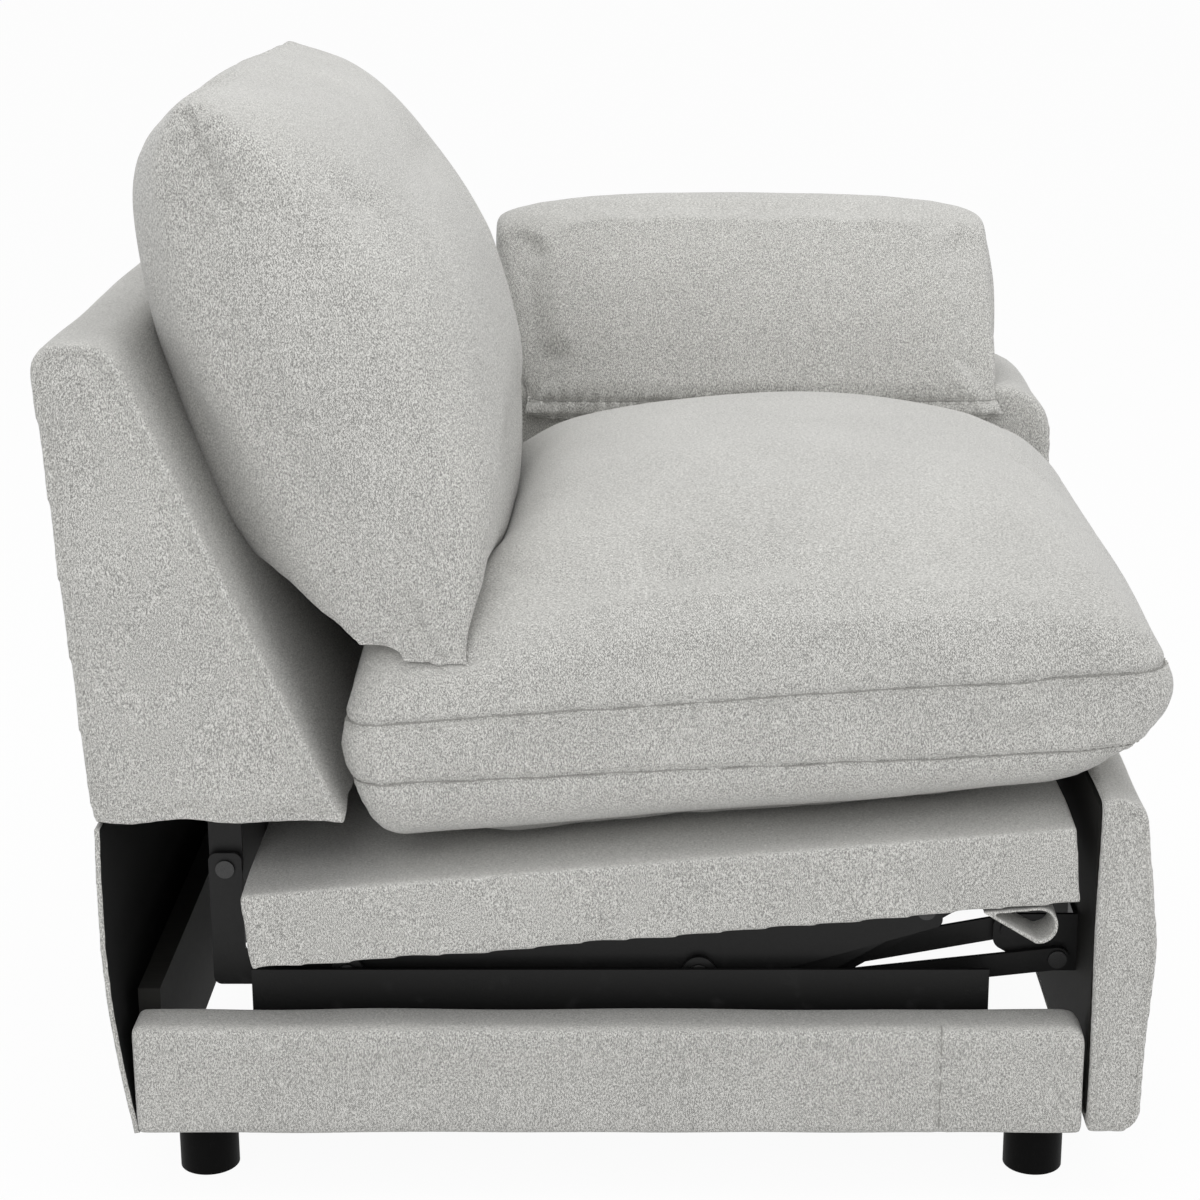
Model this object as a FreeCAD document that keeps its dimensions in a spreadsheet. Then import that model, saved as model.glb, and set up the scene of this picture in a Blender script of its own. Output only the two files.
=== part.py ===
import FreeCAD, Part
import math
import os
import re
from types import SimpleNamespace

from FreeCAD import Placement, Rotation, Vector

# A one-arm power recliner, seen from its armless side: +Z is up, the front faces -Y and
# the arm stands at +X. Lengths are millimetres and angles are degrees. "Reach" is the
# distance towards the front, so reach = -y.

doc = FreeCAD.newDocument("power_recliner")

# Driving dimensions
sizes = {
    # Overall envelope
    "overall_width": 890,
    "overall_depth": 966,
    "overall_height": 990,
    # Feet
    "foot_diameter": 54,
    "foot_height": 60,
    "foot_stud_diameter": 10,
    "foot_stud_height": 20,
    "foot_inset": 65,
    "foot_front_setback": 96,
    "foot_rear_setback": 106,
    # Base: side rail, rear rail, cross tubes and corner blocks
    "rail_thickness": 45,
    "rail_height": 106,
    "rail_front_setback": 62,
    "rail_rear_setback": 52,
    "rail_cover_thickness": 12,
    "rail_face_thickness": 18,
    "rail_corner_radius": 18,
    "rear_board_thickness": 20,
    "rear_board_height": 124,
    "cross_tube_side": 30,
    "cross_tube_wall": 2.5,
    "cross_tube_lift": 2,
    "front_tube_setback": 328,
    "rear_tube_setback": 193,
    "block_width": 33,
    "block_length": 66,
    # Rear skirt of lined cloth
    "skirt_thickness": 5,
    "skirt_gap": 3,
    "skirt_bulge": 7,
    # Arm
    "arm_width": 200,
    "arm_height": 545,
    "arm_front_setback": 11,
    "arm_rear_setback": 52,
    "arm_cover_thickness": 12,
    "arm_frame_member": 42,
    "arm_corner_radius": 60,
    "arm_cleat_height": 125,
    "control_proud": 4,
    # Arm pillow
    "pillow_length": 531,
    "pillow_front_setback": 62,
    "pillow_height": 198,
    "pillow_end_height": 160,
    "pillow_lip": 44,
    "pillow_lip_thickness": 19,
    "pillow_overhang_inset": 18,
    "pillow_end_inset": 16,
    "pillow_shoulder_drop": 34,
    "pillow_inner_lean": 70,
    "pillow_outer_lean": 36,
    "pillow_rake": 29,
    "pillow_hem_inset": 8,
    "pillow_side_bow": 7,
    "pillow_clearance": 0.3,
    # Seat box
    "seat_near_gap": 5,
    "seat_far_gap": 6,
    "seat_box_height": 72,
    "seat_box_front_setback": 69,
    "seat_box_rear_setback": 160,
    "seat_box_lift": 159,
    "seat_pitch": 5,
    "seat_cover_thickness": 8,
    "seat_deck_thickness": 6,
    "seat_cross_member": 32,
    "webbing_width": 60,
    "webbing_thickness": 3,
    "webbing_count": 5,
    "roll_length": 44,
    "roll_diameter": 34,
    "roll_thickness": 3,
    "roll_tail": 51,
    "roll_setback": 91,
    # Seat cushion
    "cushion_thickness": 314,
    "cushion_band": 62,
    "cushion_band_height": 111,
    "cushion_rear_setback": 90,
    "cushion_tuck": 5,
    "cushion_rear_undercut": 45,
    "cushion_nose_undercut": 124,
    "cushion_rear_shoulder": 65,
    "cushion_nose_shoulder": 80,
    "cushion_shoulder_drop": 58,
    "cushion_edge_bow": 13,
    "cushion_nose_low_bow": 14,
    "cushion_rear_low_bow": 4,
    "cushion_side_gap": 2,
    "cushion_far_gap": 23,
    "cushion_seat_gap": 0.3,
    # Back
    "back_far_gap": 11,
    "back_lower_depth": 221,
    "back_lower_height": 298,
    "back_rear_lean": 29,
    "back_height": 424,
    "back_top_depth": 67,
    "back_top_radius": 26,
    "back_cover_thickness": 10,
    "back_post_width": 40,
    "back_rail_height": 60,
    # Back cushion
    "back_cushion_depth": 240,
    "back_cushion_edge_offset": 143,
    "back_cushion_edge_thickness": 36,
    "back_cushion_lift": 256,
    "back_cushion_corner_drop": 110,
    "back_cushion_near_gap": 10,
    "back_cushion_far_gap": 28,
    "back_cushion_gap": 0.3,
    "back_cushion_foot_inset": 28,
    "back_cushion_shoulder_inset": 84,
    "back_cushion_shoulder_drop": 104,
    "back_cushion_crest_inset": 84,
    "back_cushion_nape_drop": 86,
    "back_cushion_front_bow": 50,
    "back_cushion_top_bow": 22,
    "back_cushion_nape_bow": 20,
    # Footrest panel
    "footrest_height": 321,
    "footrest_thickness": 55,
    "footrest_arm_gap": 5,
    "footrest_gap": 4,
    "footrest_lift": 2,
    "footrest_foot_setback": 8,
    "footrest_foot_radius": 19,
    "footrest_belly_rise": 176,
    "footrest_belly_radius": 110,
    "footrest_head_setback": 14,
    "footrest_head_radius": 25,
    "footrest_rear_radius": 8,
    "footrest_board_thickness": 15,
    "footrest_board_margin": 13,
    # Mechanism plates and pins
    "plate_thickness": 4,
    "layer_pitch": 8,
    "pin_diameter": 10,
    "pin_head_diameter": 17,
    "pin_head_height": 2.5,
    "pin_clearance": 0.05,
    "collar_clearance": 0.3,
    "open_pivot_clearance": 1.4,
    "bar_width": 22,
    "boss_diameter": 30,
    "boss_corner_radius": 12,
    "plate_corner_radius": 7.5,
    # Base rails of the mechanism and swing links
    "base_rail_height": 104,
    "base_rail_flange": 14,
    "base_rail_front_setback": 143,
    "base_rail_rear_setback": 153,
    "swing_pivot_rise": 60,
    "front_swing_setback": 358,
    "rear_swing_setback": 288,
    "swing_length": 85,
    "swing_lean": 35,
    # Back hinge
    "back_hinge_setback": 131,
    "back_hinge_rise": 228,
    "back_bracket_width": 30,
    "back_bracket_rise": 150,
    # Footrest linkage at rest
    "drive_pivot_setback": 163.9,
    "drive_pivot_rise": 193.8,
    "drive_link_length": 166.6,
    "drive_link_angle": 211.7,
    "control_pivot_setback": 200,
    "control_pivot_rise": 187.3,
    "footrest_link_tail": 37.4,
    "footrest_pivot_inset": 18.8,
    "footrest_pivot_rise": 130.3,
    "tilt_pivot_offset": 18,
    "tilt_pivot_turn": 87.5,
    "tilt_arm_length": 50.9,
    "tilt_arm_angle": 149.35,
    "hanger_rise": 55,
    "hanger_ear_height": 50,
    # Drive tube, crank and linear actuator
    "drive_tube_diameter": 22,
    "drive_journal_diameter": 12,
    "crank_radius": 40,
    "crank_thickness": 8,
    "crank_pin_diameter": 9,
    "crank_start_angle": 195,
    "yoke_slot_width": 23,
    "yoke_margin": 9,
    "yoke_thickness": 6,
    "yoke_gap": 0.6,
    "track_side": 34,
    "track_wall": 3,
    "track_drop": 8,
    "slide_clearance": 0.3,
    "nut_length": 50,
    "nut_offset": 110,
    "carriage_stroke": 78,
    "screw_diameter": 10,
    "gearbox_length": 70,
    "gearbox_width": 62,
    "gearbox_height": 80,
    "motor_diameter": 42,
    "motor_length": 110,
    "seat_tube_setback": 258,
    "seat_tube_rise": 145,
    "seat_tube_diameter": 25,
    # Control panel and its buttons on the outer arm face, set from the top of the arm
    "panel_width": 44,
    "panel_height": 96,
    "panel_depth": 30,
    "panel_flange": 8,
    "panel_flange_thickness": 2,
    "panel_setback": 133,
    "panel_rise": -135,
    "button_side": 24,
    "button_pitch": 40,
    "button_depth": 14,
    "button_travel": 2,
    "button_clearance": 0.3,
    # Low-voltage inlet on the rear board
    "inlet_width": 46,
    "inlet_height": 30,
    "inlet_depth": 24,
    "inlet_bore": 12,
    "inlet_bore_depth": 15,
}
s = SimpleNamespace(**sizes)


def polar(origin, angle, length):
    """The point at a length and angle from an origin, in reach and height."""
    turn = math.radians(angle)
    return (origin[0] + length * math.cos(turn), origin[1] + length * math.sin(turn))


def distance(a, b):
    return math.hypot(b[0] - a[0], b[1] - a[1])


def bearing(a, b):
    return math.degrees(math.atan2(b[1] - a[1], b[0] - a[0]))


# Places that follow from the driving dimensions
half_width = s.overall_width / 2
half_depth = s.overall_depth / 2
arm_inner_x = half_width - s.control_proud - s.arm_width
seat_near_x = -half_width + s.seat_near_gap
places = {
    "near_x": -half_width,
    "rail_inner_x": -half_width + s.rail_thickness,
    "arm_outer_x": half_width - s.control_proud,
    "arm_inner_x": arm_inner_x,
    "rail_front_y": -half_depth + s.rail_front_setback,
    "rail_rear_y": half_depth - s.rail_rear_setback,
    "foot_front_y": -half_depth + s.foot_front_setback,
    "foot_rear_y": half_depth - s.foot_rear_setback,
    "arm_front_y": -half_depth + s.arm_front_setback,
    "arm_rear_y": half_depth - s.arm_rear_setback,
    "arm_top_z": s.foot_height + s.arm_height,
    "tube_z": s.foot_height + s.cross_tube_lift,
    "rail_seat_z": s.foot_height + s.cross_tube_lift + s.cross_tube_side,
    "seat_near_x": seat_near_x,
    "seat_rear_y": half_depth - s.seat_box_rear_setback,
    "seat_rear_z": s.foot_height + s.seat_box_lift,
    "seat_width": arm_inner_x - s.seat_far_gap - seat_near_x,
    "back_width": arm_inner_x - s.back_far_gap - seat_near_x,
    "footrest_width": arm_inner_x - s.footrest_arm_gap + half_width - s.cushion_side_gap,
    "seat_box_length": s.overall_depth - s.seat_box_front_setback - s.seat_box_rear_setback,
    "panel_inner_reach": half_depth - s.rail_front_setback + s.footrest_gap,
    "panel_bottom_z": s.foot_height + s.footrest_lift,
}
p = SimpleNamespace(**places)
seat_center_x = p.seat_near_x + p.seat_width / 2
stack_x = p.rail_inner_x + s.base_rail_flange

# Layers of plates on each side, counted inwards from the base rail
BASE_RAIL, SWING, SEAT_PLATE, CONTROL, FOOTREST, DRIVE, TILT = range(7)
SIDES = ("near", "far")


def layer_x(side, layer):
    """The lower x of a plate in its layer on the near or far side of the seat."""
    near = stack_x + layer * s.layer_pitch
    if side == "near":
        return near
    return 2 * seat_center_x - near - s.plate_thickness


def inward(side):
    """The direction from the side's plates to the middle of the seat."""
    return 1 if side == "near" else -1


def from_front(setback, rise):
    """A point of the mechanism at a setback from the front and a rise above the feet."""
    return (half_depth - setback, s.foot_height + rise)


def from_rear(setback, rise):
    """The same from the rear."""
    return (setback - half_depth, s.foot_height + rise)


# Pivots of the mechanism as (reach, height)
front_swing_base = from_front(s.front_swing_setback, s.swing_pivot_rise)
rear_swing_base = from_rear(s.rear_swing_setback, s.swing_pivot_rise)
swing_angle = 90 + s.swing_lean
front_swing_top = polar(front_swing_base, swing_angle, s.swing_length)
rear_swing_top = polar(rear_swing_base, swing_angle, s.swing_length)
back_hinge = from_rear(s.back_hinge_setback, s.back_hinge_rise)
drive_pivot = from_front(s.drive_pivot_setback, s.drive_pivot_rise)
control_pivot = from_front(s.control_pivot_setback, s.control_pivot_rise)
knee_pivot = polar(drive_pivot, s.drive_link_angle, s.drive_link_length)
tilt_pivot = polar(knee_pivot, s.drive_link_angle - 180 + s.tilt_pivot_turn, s.tilt_pivot_offset)
foot_pivot = (
    p.panel_inner_reach - s.footrest_pivot_inset,
    p.panel_bottom_z + s.footrest_pivot_rise,
)
tilt_foot_pivot = polar(foot_pivot, s.tilt_arm_angle, s.tilt_arm_length)
tail_pivot = polar(knee_pivot, bearing(foot_pivot, knee_pivot), s.footrest_link_tail)
crank_tip = polar(drive_pivot, s.crank_start_angle, s.crank_radius)
seat_tube_center = from_rear(s.seat_tube_setback, s.seat_tube_rise)

# Ends of the turning tube, the seat's cross tube, the actuator and the back's rails
crank_gap = s.yoke_thickness / 2 + s.yoke_gap
barrel_start_x = layer_x("near", TILT) + s.plate_thickness + s.collar_clearance
seat_tube_x = layer_x("near", SEAT_PLATE) + s.plate_thickness
gearbox_front = seat_tube_center[0] + s.gearbox_length / 2
nut_reach = crank_tip[0] - s.nut_offset
track_front = nut_reach + s.carriage_stroke + s.nut_length
post_near_x = layer_x("near", CONTROL) + s.plate_thickness
post_far_x = layer_x("far", CONTROL) - s.back_post_width
lengths = {
    "swing_span": s.swing_length,
    "drive_span": s.drive_link_length,
    "horn_span": s.tilt_pivot_offset,
    "control_span": distance(control_pivot, tail_pivot),
    "footrest_span": distance(tail_pivot, foot_pivot),
    "tilt_span": distance(tilt_pivot, tilt_foot_pivot),
    "bracket_height": tilt_foot_pivot[1] - foot_pivot[1] + s.boss_diameter,
    "barrel_length": seat_center_x - crank_gap - barrel_start_x,
    "seat_tube_length": layer_x("far", SEAT_PLATE) - seat_tube_x,
    "track_length": track_front - gearbox_front,
    "back_rail_length": post_far_x - post_near_x,
    "seat_side_member": layer_x("near", SEAT_PLATE) - p.seat_near_x - s.seat_cover_thickness,
}

sheet = doc.addObject("Spreadsheet::Sheet", "Sizes")
for row, (alias, value) in enumerate({**sizes, **places, **lengths}.items(), start=1):
    sheet.set(f"A{row}", alias)
    sheet.set(f"B{row}", str(value))
    sheet.setAlias(f"B{row}", alias)
doc.recompute()

nodes = []


def sheet_expression(text):
    """Point each named size in a formula at its cell of the sheet."""
    return re.sub(r"[a-z_]+", lambda name: "Sizes." + name.group(), text)


def bind(target, **properties):
    """Tie properties to formulas of the sheet's sizes."""
    for name, text in properties.items():
        target.setExpression(name, sheet_expression(text))
    return target


def node(shape_object, label):
    """Keep an object of the document as a finished sub-part."""
    shape_object.Label = label
    nodes.append(shape_object)
    return shape_object


def box(name, size, corner, rotation=None):
    """A box whose three sizes are formulas of the sheet."""
    block = doc.addObject("Part::Box", name)
    bind(block, Length=size[0], Width=size[1], Height=size[2])
    block.Placement = Placement(Vector(*corner), rotation or Rotation())
    return block


def rod(name, diameter, length, start, direction):
    """A cylinder from a start point along a direction."""
    bar = doc.addObject("Part::Cylinder", name)
    bind(bar, Radius=f"({diameter}) / 2", Height=length)
    bar.Placement = Placement(Vector(*start), Rotation(Vector(0, 0, 1), Vector(*direction)))
    return bar


def fuse(name, shapes):
    """Join shapes. Shapes that stand apart stay separate solids of one group."""
    joined = doc.addObject("Part::MultiFuse", name)
    joined.Shapes = shapes
    joined.Refine = True
    return joined


def cut(name, base, tool):
    """Take a tool away from a base."""
    remainder = doc.addObject("Part::Cut", name)
    remainder.Base = base
    remainder.Tool = tool
    return remainder


def rounded_edges(corners):
    """Lines and tangent arcs around corners given as (a, b, radius)."""
    tangents = []
    count = len(corners)
    for index, (a, b, radius) in enumerate(corners):
        here = Vector(a, b, 0)
        before = Vector(*corners[index - 1][:2], 0)
        after = Vector(*corners[(index + 1) % count][:2], 0)
        to_before = (before - here).normalize()
        to_after = (after - here).normalize()
        half_turn = to_before.getAngle(to_after) / 2
        run = radius / math.tan(half_turn)
        bisector = (to_before + to_after).normalize()
        middle = here + bisector * (radius / math.sin(half_turn) - radius)
        tangents.append((here + to_before * run, middle, here + to_after * run, radius))
    edges = []
    for index, (start, middle, end, radius) in enumerate(tangents):
        if radius > 0:
            edges.append(Part.Arc(start, middle, end))
        edges.append(Part.LineSegment(end, tangents[(index + 1) % count][0]))
    return edges


def profile(name, corners, width, x):
    """An outline of (reach, height, radius) corners, padded across the chair."""
    body = doc.addObject("PartDesign::Body", name)
    outline = body.newObject("Sketcher::SketchObject", name + "_outline")
    plane = [item for item in body.Origin.OriginFeatures if item.Role == "YZ_Plane"]
    outline.AttachmentSupport = [(plane[0], "")]
    outline.MapMode = "FlatFace"
    outline.addGeometry(rounded_edges([(-reach, z, radius) for reach, z, radius in corners]))
    pad = body.newObject("PartDesign::Pad", name + "_pad")
    pad.Profile = outline
    bind(pad, Length=width)
    body.Placement = Placement(Vector(x, 0, 0), Rotation())
    return body


def drill(name, plate, side, layer, pivots):
    """Drill a plate at pivots given as (reach, height, diameter formula)."""
    x = layer_x(side, layer)
    bits = [
        rod(f"{name}_bit_{index}", diameter, "plate_thickness", (x, -reach, z), (1, 0, 0))
        for index, (reach, z, diameter) in enumerate(pivots)
    ]
    return cut(name, plate, fuse(name + "_bits", bits) if len(bits) > 1 else bits[0])


FIXED_HOLE = "pin_diameter"
RUNNING_HOLE = "pin_diameter + 2 * pin_clearance"


def bar(name, side, layer, span_length, first, last, width="bar_width"):
    """A flat bar with round ends around two pivots."""
    x = layer_x(side, layer)
    turn = Rotation(Vector(1, 0, 0), -bearing(first, last))
    start = Vector(x, -first[0], first[1])
    back_along = turn.multVec(Vector(0, -lengths[span_length], -sizes[width] / 2))
    span = box(name + "_span", ("plate_thickness", span_length, width), start + back_along, turn)
    ends = [
        rod(f"{name}_end_{index}", width, "plate_thickness", (x, -end[0], end[1]), (1, 0, 0))
        for index, end in enumerate((first, last))
    ]
    return fuse(name, [span, *ends])


def link_bar(label, side, layer, span_length, pivots, width="bar_width"):
    """A link through pivots in line, drilled at each of them."""
    blank = bar(label + "_bar", side, layer, span_length, pivots[0], pivots[-1], width)
    return node(drill(label + "_drilled", blank, side, layer, pivots), label)


def rivet(name, side, fixed, running, pivot):
    """A headed pin fixed in the plate of one layer, on which the plate of the next layer turns."""
    step = inward(side) * (running - fixed)
    start = layer_x(side, fixed) + (0 if step > 0 else s.plate_thickness)
    reach, z = pivot

    def piece(suffix, diameter, length, offset):
        at = (start + step * offset, -reach, z)
        return rod(f"{name}_{suffix}", diameter, length, at, (step, 0, 0))

    grip = s.layer_pitch + s.plate_thickness + s.collar_clearance
    return fuse(name, [
        piece("shank", "pin_diameter", "layer_pitch + plate_thickness + collar_clearance", 0),
        piece("fixed_head", "pin_head_diameter", "pin_head_height", -s.pin_head_height),
        piece("collar", "pin_head_diameter", "layer_pitch - plate_thickness - collar_clearance",
              s.plate_thickness),
        piece("running_head", "pin_head_diameter", "pin_head_height", grip),
    ])


def rivets(label, places_of_pins):
    """A group of separate rivets on both sides, each given as (fixed layer, running layer, pivot)."""
    pins = []
    for index, (fixed, running, pivot) in enumerate(places_of_pins):
        for side in SIDES:
            pins.append(rivet(f"{label}_{index}_{side}", side, fixed, running, pivot))
    return node(fuse(label + "_group", pins), label)


# Feet with their studs, and the blocks that take the studs on the armless side
foot_centers = {
    "foot_near_front": (p.near_x + s.foot_inset, p.foot_front_y),
    "foot_near_rear": (p.near_x + s.foot_inset, p.foot_rear_y),
    "foot_far_front": (p.arm_outer_x - s.foot_inset, p.foot_front_y),
    "foot_far_rear": (p.arm_outer_x - s.foot_inset, p.foot_rear_y),
}
for label, (x, y) in foot_centers.items():
    post = rod(label + "_post", "foot_diameter", "foot_height", (x, y, 0), (0, 0, 1))
    stud = rod(label + "_stud", "foot_stud_diameter", "foot_stud_height", (x, y, s.foot_height), (0, 0, 1))
    node(fuse(label + "_turned", [post, stud]), label)


def stud_hole(name, center):
    """The hole that a foot's stud is driven into."""
    start = (center[0], center[1], s.foot_height)
    return rod(name, "foot_stud_diameter + 2 * pin_clearance", "foot_stud_height + pin_head_height",
               start, (0, 0, 1))


blocks = []
for label in ("foot_near_front", "foot_near_rear"):
    x, y = foot_centers[label]
    corner = (p.rail_inner_x, y - s.block_length / 2, s.foot_height)
    block = box(label + "_block", ("block_width", "block_length", "cross_tube_side"), corner)
    blocks.append(cut(label + "_block_drilled", block, stud_hole(label + "_hole", (x, y))))
node(fuse("corner_blocks_group", blocks), "corner_blocks")

# Side rail on the armless side: a board under a padded cover
rail_length = "overall_depth - rail_front_setback - rail_rear_setback"
rail_outline = [
    (-p.rail_front_y, s.foot_height, 0),
    (-p.rail_front_y, s.foot_height + s.rail_height, s.rail_corner_radius),
    (-p.rail_rear_y, s.foot_height + s.rail_height, 0),
    (-p.rail_rear_y, s.foot_height, 0),
]
rail_shell = profile("side_rail_shell", rail_outline, "rail_thickness", p.near_x)
board_corner = (
    p.near_x + s.rail_face_thickness,
    p.rail_front_y + s.rail_cover_thickness,
    s.foot_height,
)
board_size = (
    "rail_thickness - rail_face_thickness",
    rail_length + " - 2 * rail_cover_thickness",
    "rail_height - rail_cover_thickness",
)
node(box("side_rail_wood", board_size, board_corner), "side_rail_board")
rail_cavity = box("side_rail_cavity", board_size, board_corner)
node(cut("side_rail_hollow", rail_shell, rail_cavity), "side_rail_cover")

# Rear board and the lined cloth skirt that hangs behind it
board_y = p.rail_rear_y - s.rear_board_thickness
rear_board_corner = (p.rail_inner_x, board_y, s.foot_height)
base_span = "overall_width - control_proud - arm_width - rail_thickness"
node(box("rear_board_wood", (base_span, "rear_board_thickness", "rear_board_height"), rear_board_corner),
     "rear_board")

back_bottom_z = s.foot_height + s.back_lower_height
back_rear_bottom_y = half_depth - s.back_rear_lean
skirt_top = back_bottom_z - s.skirt_gap
skirt_bottom_reach = -p.rail_rear_y
skirt_top_reach = -back_rear_bottom_y + s.skirt_thickness
skirt_bow_share = 2 / 3


def skirt_edge(offset):
    """The skirt's bowed edge as (y, height), moved back by an offset."""
    bottom = Vector(offset - skirt_bottom_reach, s.foot_height, 0)
    top = Vector(offset - skirt_top_reach, skirt_top, 0)
    bow = bottom + (top - bottom) * skirt_bow_share + Vector(s.skirt_bulge, 0, 0)
    return bottom, bow, top


skirt = doc.addObject("PartDesign::Body", "skirt")
skirt_sketch = skirt.newObject("Sketcher::SketchObject", "skirt_outline")
skirt_plane = [item for item in skirt.Origin.OriginFeatures if item.Role == "YZ_Plane"]
skirt_sketch.AttachmentSupport = [(skirt_plane[0], "")]
skirt_sketch.MapMode = "FlatFace"
inner_bottom, inner_bow, inner_top = skirt_edge(0)
outer_bottom, outer_bow, outer_top = skirt_edge(s.skirt_thickness)
skirt_sketch.addGeometry([
    Part.Arc(inner_bottom, inner_bow, inner_top),
    Part.LineSegment(inner_top, outer_top),
    Part.Arc(outer_top, outer_bow, outer_bottom),
    Part.LineSegment(outer_bottom, inner_bottom),
])
skirt_pad = skirt.newObject("PartDesign::Pad", "skirt_pad")
skirt_pad.Profile = skirt_sketch
bind(skirt_pad, Length="overall_width - control_proud - arm_width")
skirt.Placement = Placement(Vector(p.near_x, 0, 0), Rotation())
node(skirt, "rear_skirt")

# Square cross tubes of the base
for label, center_y in (
    ("front_cross_tube", s.front_tube_setback - half_depth),
    ("rear_cross_tube", half_depth - s.rear_tube_setback),
):
    corner = (p.rail_inner_x, center_y - s.cross_tube_side / 2, p.tube_z)
    bore_corner = (corner[0], corner[1] + s.cross_tube_wall, corner[2] + s.cross_tube_wall)
    solid = box(label + "_solid", (base_span, "cross_tube_side", "cross_tube_side"), corner)
    bore_side = "cross_tube_side - 2 * cross_tube_wall"
    bore = box(label + "_bore", (base_span, bore_side, bore_side), bore_corner)
    node(cut(label + "_square", solid, bore), label)

# Angle-section base rails of the mechanism
for side in SIDES:
    label = "base_rail_" + side
    x = layer_x(side, BASE_RAIL)
    flange_x = x - s.base_rail_flange if side == "near" else x + s.plate_thickness
    front_y = s.base_rail_front_setback - half_depth
    run = "overall_depth - base_rail_front_setback - base_rail_rear_setback"
    web = box(label + "_web", ("plate_thickness", run, "base_rail_height"), (x, front_y, p.rail_seat_z))
    flange = box(label + "_flange", ("base_rail_flange", run, "plate_thickness"),
                 (flange_x, front_y, p.rail_seat_z))
    holes = [(*front_swing_base, FIXED_HOLE), (*rear_swing_base, FIXED_HOLE)]
    node(drill(label + "_drilled", fuse(label + "_angle", [web, flange]), side, BASE_RAIL, holes), label)
rivets("base_pivot_pins", [
    (BASE_RAIL, SWING, front_swing_base),
    (BASE_RAIL, SWING, rear_swing_base),
])

# Swing links that carry the seat on the base rails
for name, foot, top in (
    ("front_swing_link_", front_swing_base, front_swing_top),
    ("rear_swing_link_", rear_swing_base, rear_swing_top),
):
    for side in SIDES:
        holes = [(*foot, RUNNING_HOLE), (*top, RUNNING_HOLE)]
        link_bar(name + side, side, SWING, "swing_span", holes, "boss_diameter")

# Arm: a board frame inside a padded cover that is open below, with a control cut-out
cover = s.arm_cover_thickness
arm_length = "overall_depth - arm_front_setback - arm_rear_setback"
arm_outline = [
    (-p.arm_front_y, s.foot_height, 0),
    (-p.arm_front_y, p.arm_top_z, s.arm_corner_radius),
    (-p.arm_rear_y, p.arm_top_z, s.rail_corner_radius),
    (-p.arm_rear_y, s.foot_height, 0),
]
arm_shell = profile("arm_shell", arm_outline, "arm_width", p.arm_inner_x)
frame_corner = (p.arm_inner_x + cover, p.arm_front_y + cover, s.foot_height)
frame_radius = s.arm_corner_radius - cover
frame_outline = [
    (-frame_corner[1], s.foot_height, 0),
    (-frame_corner[1], p.arm_top_z - cover, frame_radius),
    (cover - p.arm_rear_y, p.arm_top_z - cover, 0),
    (cover - p.arm_rear_y, s.foot_height, 0),
]
member = s.arm_frame_member
window_size = (
    "arm_width - 2 * arm_cover_thickness",
    arm_length + " - 2 * arm_cover_thickness - 2 * arm_frame_member",
    "arm_height - arm_cover_thickness - 2 * arm_frame_member",
)
window_corner = (frame_corner[0], frame_corner[1] + member, s.foot_height + member)
frame_width = "arm_width - 2 * arm_cover_thickness"
frame_block = profile("arm_frame_block", frame_outline, frame_width, frame_corner[0])
window = box("arm_frame_window", window_size, window_corner)
frame_ring = cut("arm_frame_ring", frame_block, window)
cleat_size = ("arm_cover_thickness", arm_length + " - 2 * arm_cover_thickness", "arm_cleat_height")
cleat_corner = (p.arm_inner_x, frame_corner[1], s.foot_height)
cleat = box("arm_frame_cleat", cleat_size, cleat_corner)
frame_joined = fuse("arm_frame_joined", [frame_ring, cleat])
stud_holes = fuse("arm_frame_stud_holes", [
    stud_hole(label + "_hole", foot_centers[label]) for label in ("foot_far_front", "foot_far_rear")
])
node(cut("arm_frame_drilled", frame_joined, stud_holes), "arm_frame")

panel_y = s.panel_setback - half_depth
panel_center_z = s.foot_height + s.arm_height + s.panel_rise
arm_cavity = profile("arm_cavity", frame_outline, frame_width, frame_corner[0])
cleat_cavity = box("arm_cleat_cavity", cleat_size, cleat_corner)
panel_corner = (
    p.arm_outer_x - s.panel_depth,
    panel_y - s.panel_width / 2,
    panel_center_z - s.panel_height / 2,
)
panel_size = ("panel_depth", "panel_width", "panel_height")
panel_cutout = box("arm_panel_cutout", panel_size, panel_corner)
arm_hollows = fuse("arm_hollows", [arm_cavity, cleat_cavity, panel_cutout])
node(cut("arm_cover_hollow", arm_shell, arm_hollows), "arm_cover")

# Control panel with two sprung buttons
panel_body = box("panel_body", panel_size, panel_corner)
flange_corner = (p.arm_outer_x, panel_corner[1] - s.panel_flange, panel_corner[2] - s.panel_flange)
panel_rim = box(
    "panel_rim",
    ("panel_flange_thickness", "panel_width + 2 * panel_flange", "panel_height + 2 * panel_flange"),
    flange_corner,
)
button_wells = []
button_centers = {
    "recline_button": panel_center_z + s.button_pitch / 2,
    "return_button": panel_center_z - s.button_pitch / 2,
}
well_side = "button_side + 2 * button_clearance"
button_x = half_width - s.button_depth
for label, z in button_centers.items():
    corner = (button_x, panel_y - s.button_side / 2, z - s.button_side / 2)
    node(box(label + "_cap", ("button_depth", "button_side", "button_side"), corner), label)
    well_corner = (
        button_x - s.button_travel - s.button_clearance,
        corner[1] - s.button_clearance,
        corner[2] - s.button_clearance,
    )
    button_wells.append(box(label + "_well", ("button_depth + button_travel", well_side, well_side), well_corner))
panel_solid = fuse("panel_solid", [panel_body, panel_rim])
node(cut("panel_wells", panel_solid, fuse("panel_well_pair", button_wells)), "control_panel")

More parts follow.
